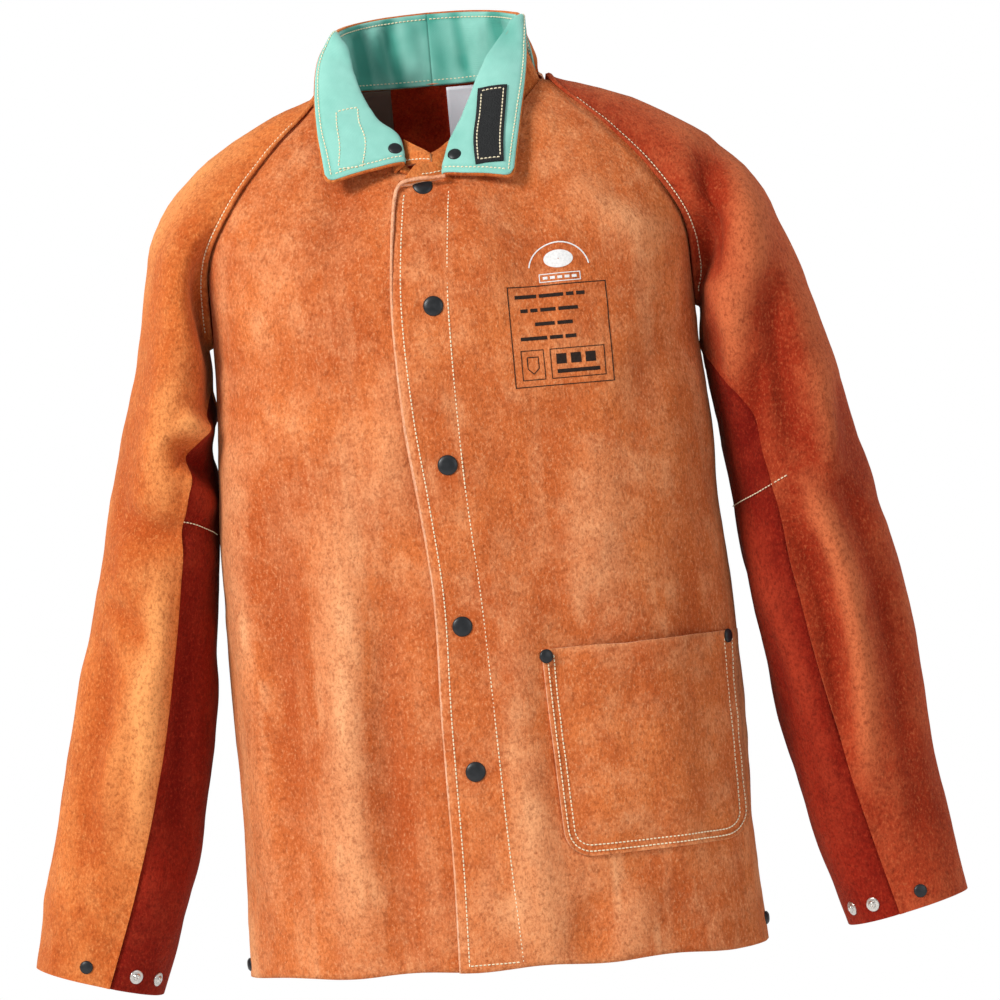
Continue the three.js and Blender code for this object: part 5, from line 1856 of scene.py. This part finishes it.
    def build_band(self) -> None:
        """The front part of the stand, from the neck seam up to the roll line."""
        low, high = [], []
        for (x, y, h), (rx, rh) in zip(self.neck_seam, self.roll):
            low.append((self.sign * x, y + 2, h - 3))
            drop = 3 + 14 * float(smoothstep(rh, 800, 840))
            high.append(self.on_plane(rx + self.sign * 4, rh - drop, -6.5))
        low.append((self.sign * 94, 4, self.foot_height))
        high.append((self.sign * 88, 2, self.top_height - 30))
        k = np.arange(len(low))
        s = np.linspace(0, k[-1], 60)
        a = along([(i, *p) for i, p in zip(k, low)], s)
        b = along([(i, *p) for i, p in zip(k, high)], s)
        t = np.linspace(0, 1, 14)[:, None, None]
        grid = a[None] * (1 - t) + b[None] * t
        out = facing(grid_normals(grid), 1, -1)
        piece = sheet_object(f"{self.side}_neck_band", grid + out * 0.9, grid - out * 0.9)
        complete(piece, (BRIGHT, BRIGHT, BRIGHT), "torso", "split_leather")

    def sew_between(self, thread: Thread, corners: Sequence[Pair], lift: float) -> None:
        """Sews from corner to corner, each an x and a height on the fallen part."""
        spots = [self.find(*corner) for corner in corners]
        for (a, b), (c, d) in zip(spots, spots[1:]):
            face, out = self.surface(np.linspace(a, c, 24), np.linspace(b, d, 24))
            thread.sew(face + out * lift, out)

    def build_thread(self) -> None:
        """Thread round the free edges, along the neck seam and round the sewn box."""
        thread = Thread(radius=0.58)
        place = np.linspace(self.hem / self.length, 1, 200)
        face, out = self.surface(place, 1 - self.hem / self.width(place))
        thread.sew(face + out * (self.cloth + 0.1), out)
        start = np.full(40, self.hem / self.length)
        face, out = self.surface(start, np.linspace(0.27, 1 - self.hem / self.breadth, 40))
        thread.sew(face + out * (self.cloth + 0.1), out)
        face, out = self.surface(np.linspace(0.5, 1, 60), np.full(60, 0.07))
        thread.sew(face + out * (self.cloth + 0.1), out)
        if self.side == "right":
            self.sew_between(thread, (*self.patch, self.patch[0]), self.cloth + 0.6)
        thread.complete(f"{self.side}_collar_thread", self.motion)

    def quad(self, u: Array, v: Array, draw_in: Pair = (0.0, 0.0)) -> tuple[Array, Array]:
        """Places and shares inside the patch; u runs up it and v across it."""
        a, b, c, d = (np.array(self.find(*corner)) for corner in self.patch)
        u = draw_in[0] + (1 - 2 * draw_in[0]) * u[..., None]
        v = draw_in[1] + (1 - 2 * draw_in[1]) * v[..., None]
        both = (a * (1 - v) + b * v) * (1 - u) + (d * (1 - v) + c * v) * u
        return both[..., 0], both[..., 1]

    def build_patch(self) -> None:
        """Hook tape on the left tip's lining, loop tape on the right tip's outer face."""
        u, v = np.meshgrid(np.linspace(0, 1, 36), np.linspace(0, 1, 16))
        face, out = self.surface(*self.quad(u, v))
        left = self.side == "left"
        if left:
            top = face + out * (self.cloth + 2.1)
            piece = sheet_object("hook_tape", top, top - out * 1.7)
        else:
            top = face - out * (LEATHER + 1.9)
            piece = sheet_object("loop_tape", top, top + out * 1.8)
        complete(piece, (HOOKS, HOOKS, HOOKS), self.motion,
                 "hook_tape", "hook_patch" if left else "loop_patch")
        if not left:
            return
        thread = Thread(radius=0.58)
        t = np.linspace(0, 1, 24)
        zero, one = np.zeros(24), np.ones(24)
        for u, v in ((t, zero), (one, t), (t[::-1], one), (zero, t[::-1])):
            face, out = self.surface(*self.quad(u, v, (0.045, 0.12)))
            thread.sew(face + out * (self.cloth + 2.1), out)
        thread.complete("hook_tape_thread", self.motion)

    def build_snap(self) -> None:
        """The snap at the tip's front corner."""
        profile = ((0, -0.6), (6.3, -0.6), (6.3, 0.5), (5.4, 1.6), (3.0, 2.3), (0, 2.5))
        place, share = self.find(*self.snap)
        face, out = self.surface(np.array([place]), np.array([share]))
        piece = turned_object(f"{self.side}_tip_snap", profile, face[0] + out[0] * self.cloth,
                              out[0], 32)
        complete(piece, (ENAMEL,), f"{self.side}_collar_tip",
                 "black_snap", f"{self.side}_collar_snap")


@dataclass
class Inside:
    """Satin lining of the shoulders and the size tab."""

    tab_x: float = 26
    tab_width: float = 28
    tab_length: float = 62

    def lining(self, side: str, sign: int) -> None:
        """Satin under one side of the yoke."""
        rows = np.linspace(694, 802, 24)
        turn = FORM.raglan_turn(rows)
        start = FORM.turn_at(np.full(len(rows), 40.0), rows)
        u = np.linspace(0, 1, 26)
        angle = sign * (start[:, None] + (turn * 0.93 - start)[:, None] * u)
        base = FORM.point(angle, rows[:, None], True)
        out = facing(grid_normals(base), 1, 1)
        ripple = 0.9 * GRAIN(base, (12, 12, 40))
        outer = base - out * (LEATHER + 2.6 + ripple[..., None])
        piece = sheet_object(f"{side}_satin_lining", outer, outer - out * 0.5)
        dress(piece, SATIN, SATIN, SATIN)
        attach(piece, "torso")
        columns = np.linalg.norm(np.diff(outer, axis=1), axis=-1).sum(axis=1)
        length = np.linalg.norm(np.diff(outer, axis=0), axis=-1).sum(axis=0)
        du, dv = np.gradient(outer, axis=1), np.gradient(outer, axis=0)
        area = float(np.linalg.norm(np.cross(du, dv), axis=-1)[:-1, :-1].sum()) * 1e-6
        hand_in(piece, "satin_lining", "back_yoke_lining")

    def tab(self) -> None:
        """White woven tab that hangs from the back neck seam."""
        rows = np.linspace(797, 797 - self.tab_length, 20)
        x = self.tab_x + self.tab_width * np.linspace(-0.5, 0.5, 10)
        grid_x = np.broadcast_to(x, (len(rows), len(x)))
        grid_h = np.broadcast_to(rows[:, None], grid_x.shape)
        base = FORM.point(FORM.turn_at(grid_x, grid_h), grid_h, True)
        curl = 4.2 + 6 * ((797 - grid_h) / self.tab_length) ** 1.5
        front = base.copy()
        front[..., 1] -= curl + 0.6 * np.sin(grid_x / 9)
        rear = front.copy()
        rear[..., 1] += 0.5
        piece = sheet_object("neck_tab", front, rear)
        # Its finish glows as painted light against the shade inside the neck.
        dress(piece, TAB_WITH_PAINTED_GLOW, TAB_WITH_PAINTED_GLOW, TAB_WITH_PAINTED_GLOW)
        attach(piece, "torso")
        length = float(np.linalg.norm(np.diff(front[:, 5], axis=0), axis=-1).sum())
        hand_in(piece, "white_tape", "size_tab")

    def build(self) -> None:
        """Every piece inside the neck."""
        self.lining("left", 1)
        self.lining("right", -1)
        self.tab()


@dataclass
class Studio:
    """Pale floor, soft light and the camera."""

    eye_height: float = -0.384
    eye_x: float = 0.027
    distance: float = 5.0
    view_width: float = 0.9
    subject_depth: float = -0.06
    lean: float = 5.2
    sensor: float = 36
    floor_drop: float = 0.62
    floor_half: float = 5.0
    ambient: float = 0.38

    def light(self, name: str, spot: Sequence[float], aim: Sequence[float], size: float,
              watts: float, colour: tuple[float, float, float] = (1, 1, 1)) -> None:
        """A soft square light that points at a spot."""
        data = bpy.data.lights.new(name, "AREA")
        data.size, data.energy, data.color = size, watts, colour
        lamp = bpy.data.objects.new(name, data)
        lamp.location = spot
        lamp.rotation_euler = (Vector(aim) - Vector(spot)).to_track_quat("-Z", "Y").to_euler()
        bpy.context.scene.collection.objects.link(lamp)

    def build(self) -> None:
        """Sets the stage."""
        scene = bpy.context.scene
        data = bpy.data.cameras.new("camera")
        data.sensor_width = self.sensor
        data.lens = self.sensor * (self.distance + self.subject_depth) / self.view_width
        camera = bpy.data.objects.new("camera", data)
        turn = Matrix.Rotation(math.radians(90), 4, "X") @ Matrix.Rotation(
            math.radians(-self.lean), 4, "Z")
        eye = Matrix.Translation((self.eye_x, -self.distance, self.eye_height))
        camera.matrix_world = eye @ turn
        scene.collection.objects.link(camera)
        scene.camera = camera

        world = scene.world or bpy.data.worlds.new("studio")
        scene.world = world
        world.use_nodes = True
        tree = world.node_tree
        background = tree.nodes["Background"]
        background.inputs["Color"].default_value = (1.0, 1.0, 1.0, 1)
        seen = tree.nodes.new("ShaderNodeLightPath")
        strength = tree.nodes.new("ShaderNodeMapRange")
        strength.inputs["To Min"].default_value = self.ambient
        strength.inputs["To Max"].default_value = 1.0
        tree.links.new(seen.outputs["Is Camera Ray"], strength.inputs["Value"])
        tree.links.new(strength.outputs[0], background.inputs["Strength"])
        scene.view_settings.view_transform = "Standard"
        scene.view_settings.look = "None"

        size = self.floor_half
        drop = -(JACKET_LENGTH * MILLIMETRE + self.floor_drop)
        mesh = bpy.data.meshes.new("floor")
        mesh.from_pydata([(-size, -size, drop), (size, -size, drop), (size, size, drop),
                          (-size, size, drop)], [], [(0, 1, 2, 3)])
        floor = bpy.data.objects.new("floor", mesh)
        scene.collection.objects.link(floor)
        dress(floor, Plain("pale_floor", (0.86, 0.86, 0.86), 0.02, 0.9))

        centre = (0.0, 0.0, -0.35)
        self.light("key", (-2.6, -2.6, 1.7), centre, 1.2, 172, (1.0, 0.97, 0.93))
        self.light("fill", (2.6, -2.4, 0.2), centre, 2.0, 22, (0.95, 0.97, 1.0))
        self.light("rim_left", (-2.2, 1.8, 1.2), centre, 1.2, 30)
        self.light("rim_right", (2.4, 1.6, 1.4), centre, 1.2, 30)


def main() -> None:
    """Builds the jacket, then the stage."""
    logging.basicConfig(level=logging.INFO, format="%(message)s")
    body = Body()
    body.build()
    Pocket(body).build()
    Print(body).build()
    for side in ("right", "left"):
        Sleeve(side).build()
    Collar(
        "right",
        top_half=81,
        roll=((-31, 719), (-35, 744), (-52, 761), (-64, 785), (-71, 808), (-75, 834)),
        edge=((-103, 706), (-105.5, 732), (-107.5, 757), (-106.5, 796), (-100, 827),
              (-86, 848)),
        snap=(-38, 733), patch=((-89, 718), (-68, 719), (-68, 774), (-87, 772)),
    ).build()
    Collar(
        "left",
        roll=((3, 705), (11, 733), (26, 758), (41, 791), (56, 815), (78, 842)),
        edge=((66, 697), (72, 727), (78, 757), (85, 790), (88.5, 818), (89, 847)),
        snap=(15, 722), patch=((32, 711), (57, 712), (67, 782), (41, 781)),
    ).build()
    Inside().build()
    Studio().build()


if __name__ == "__main__":
    main()
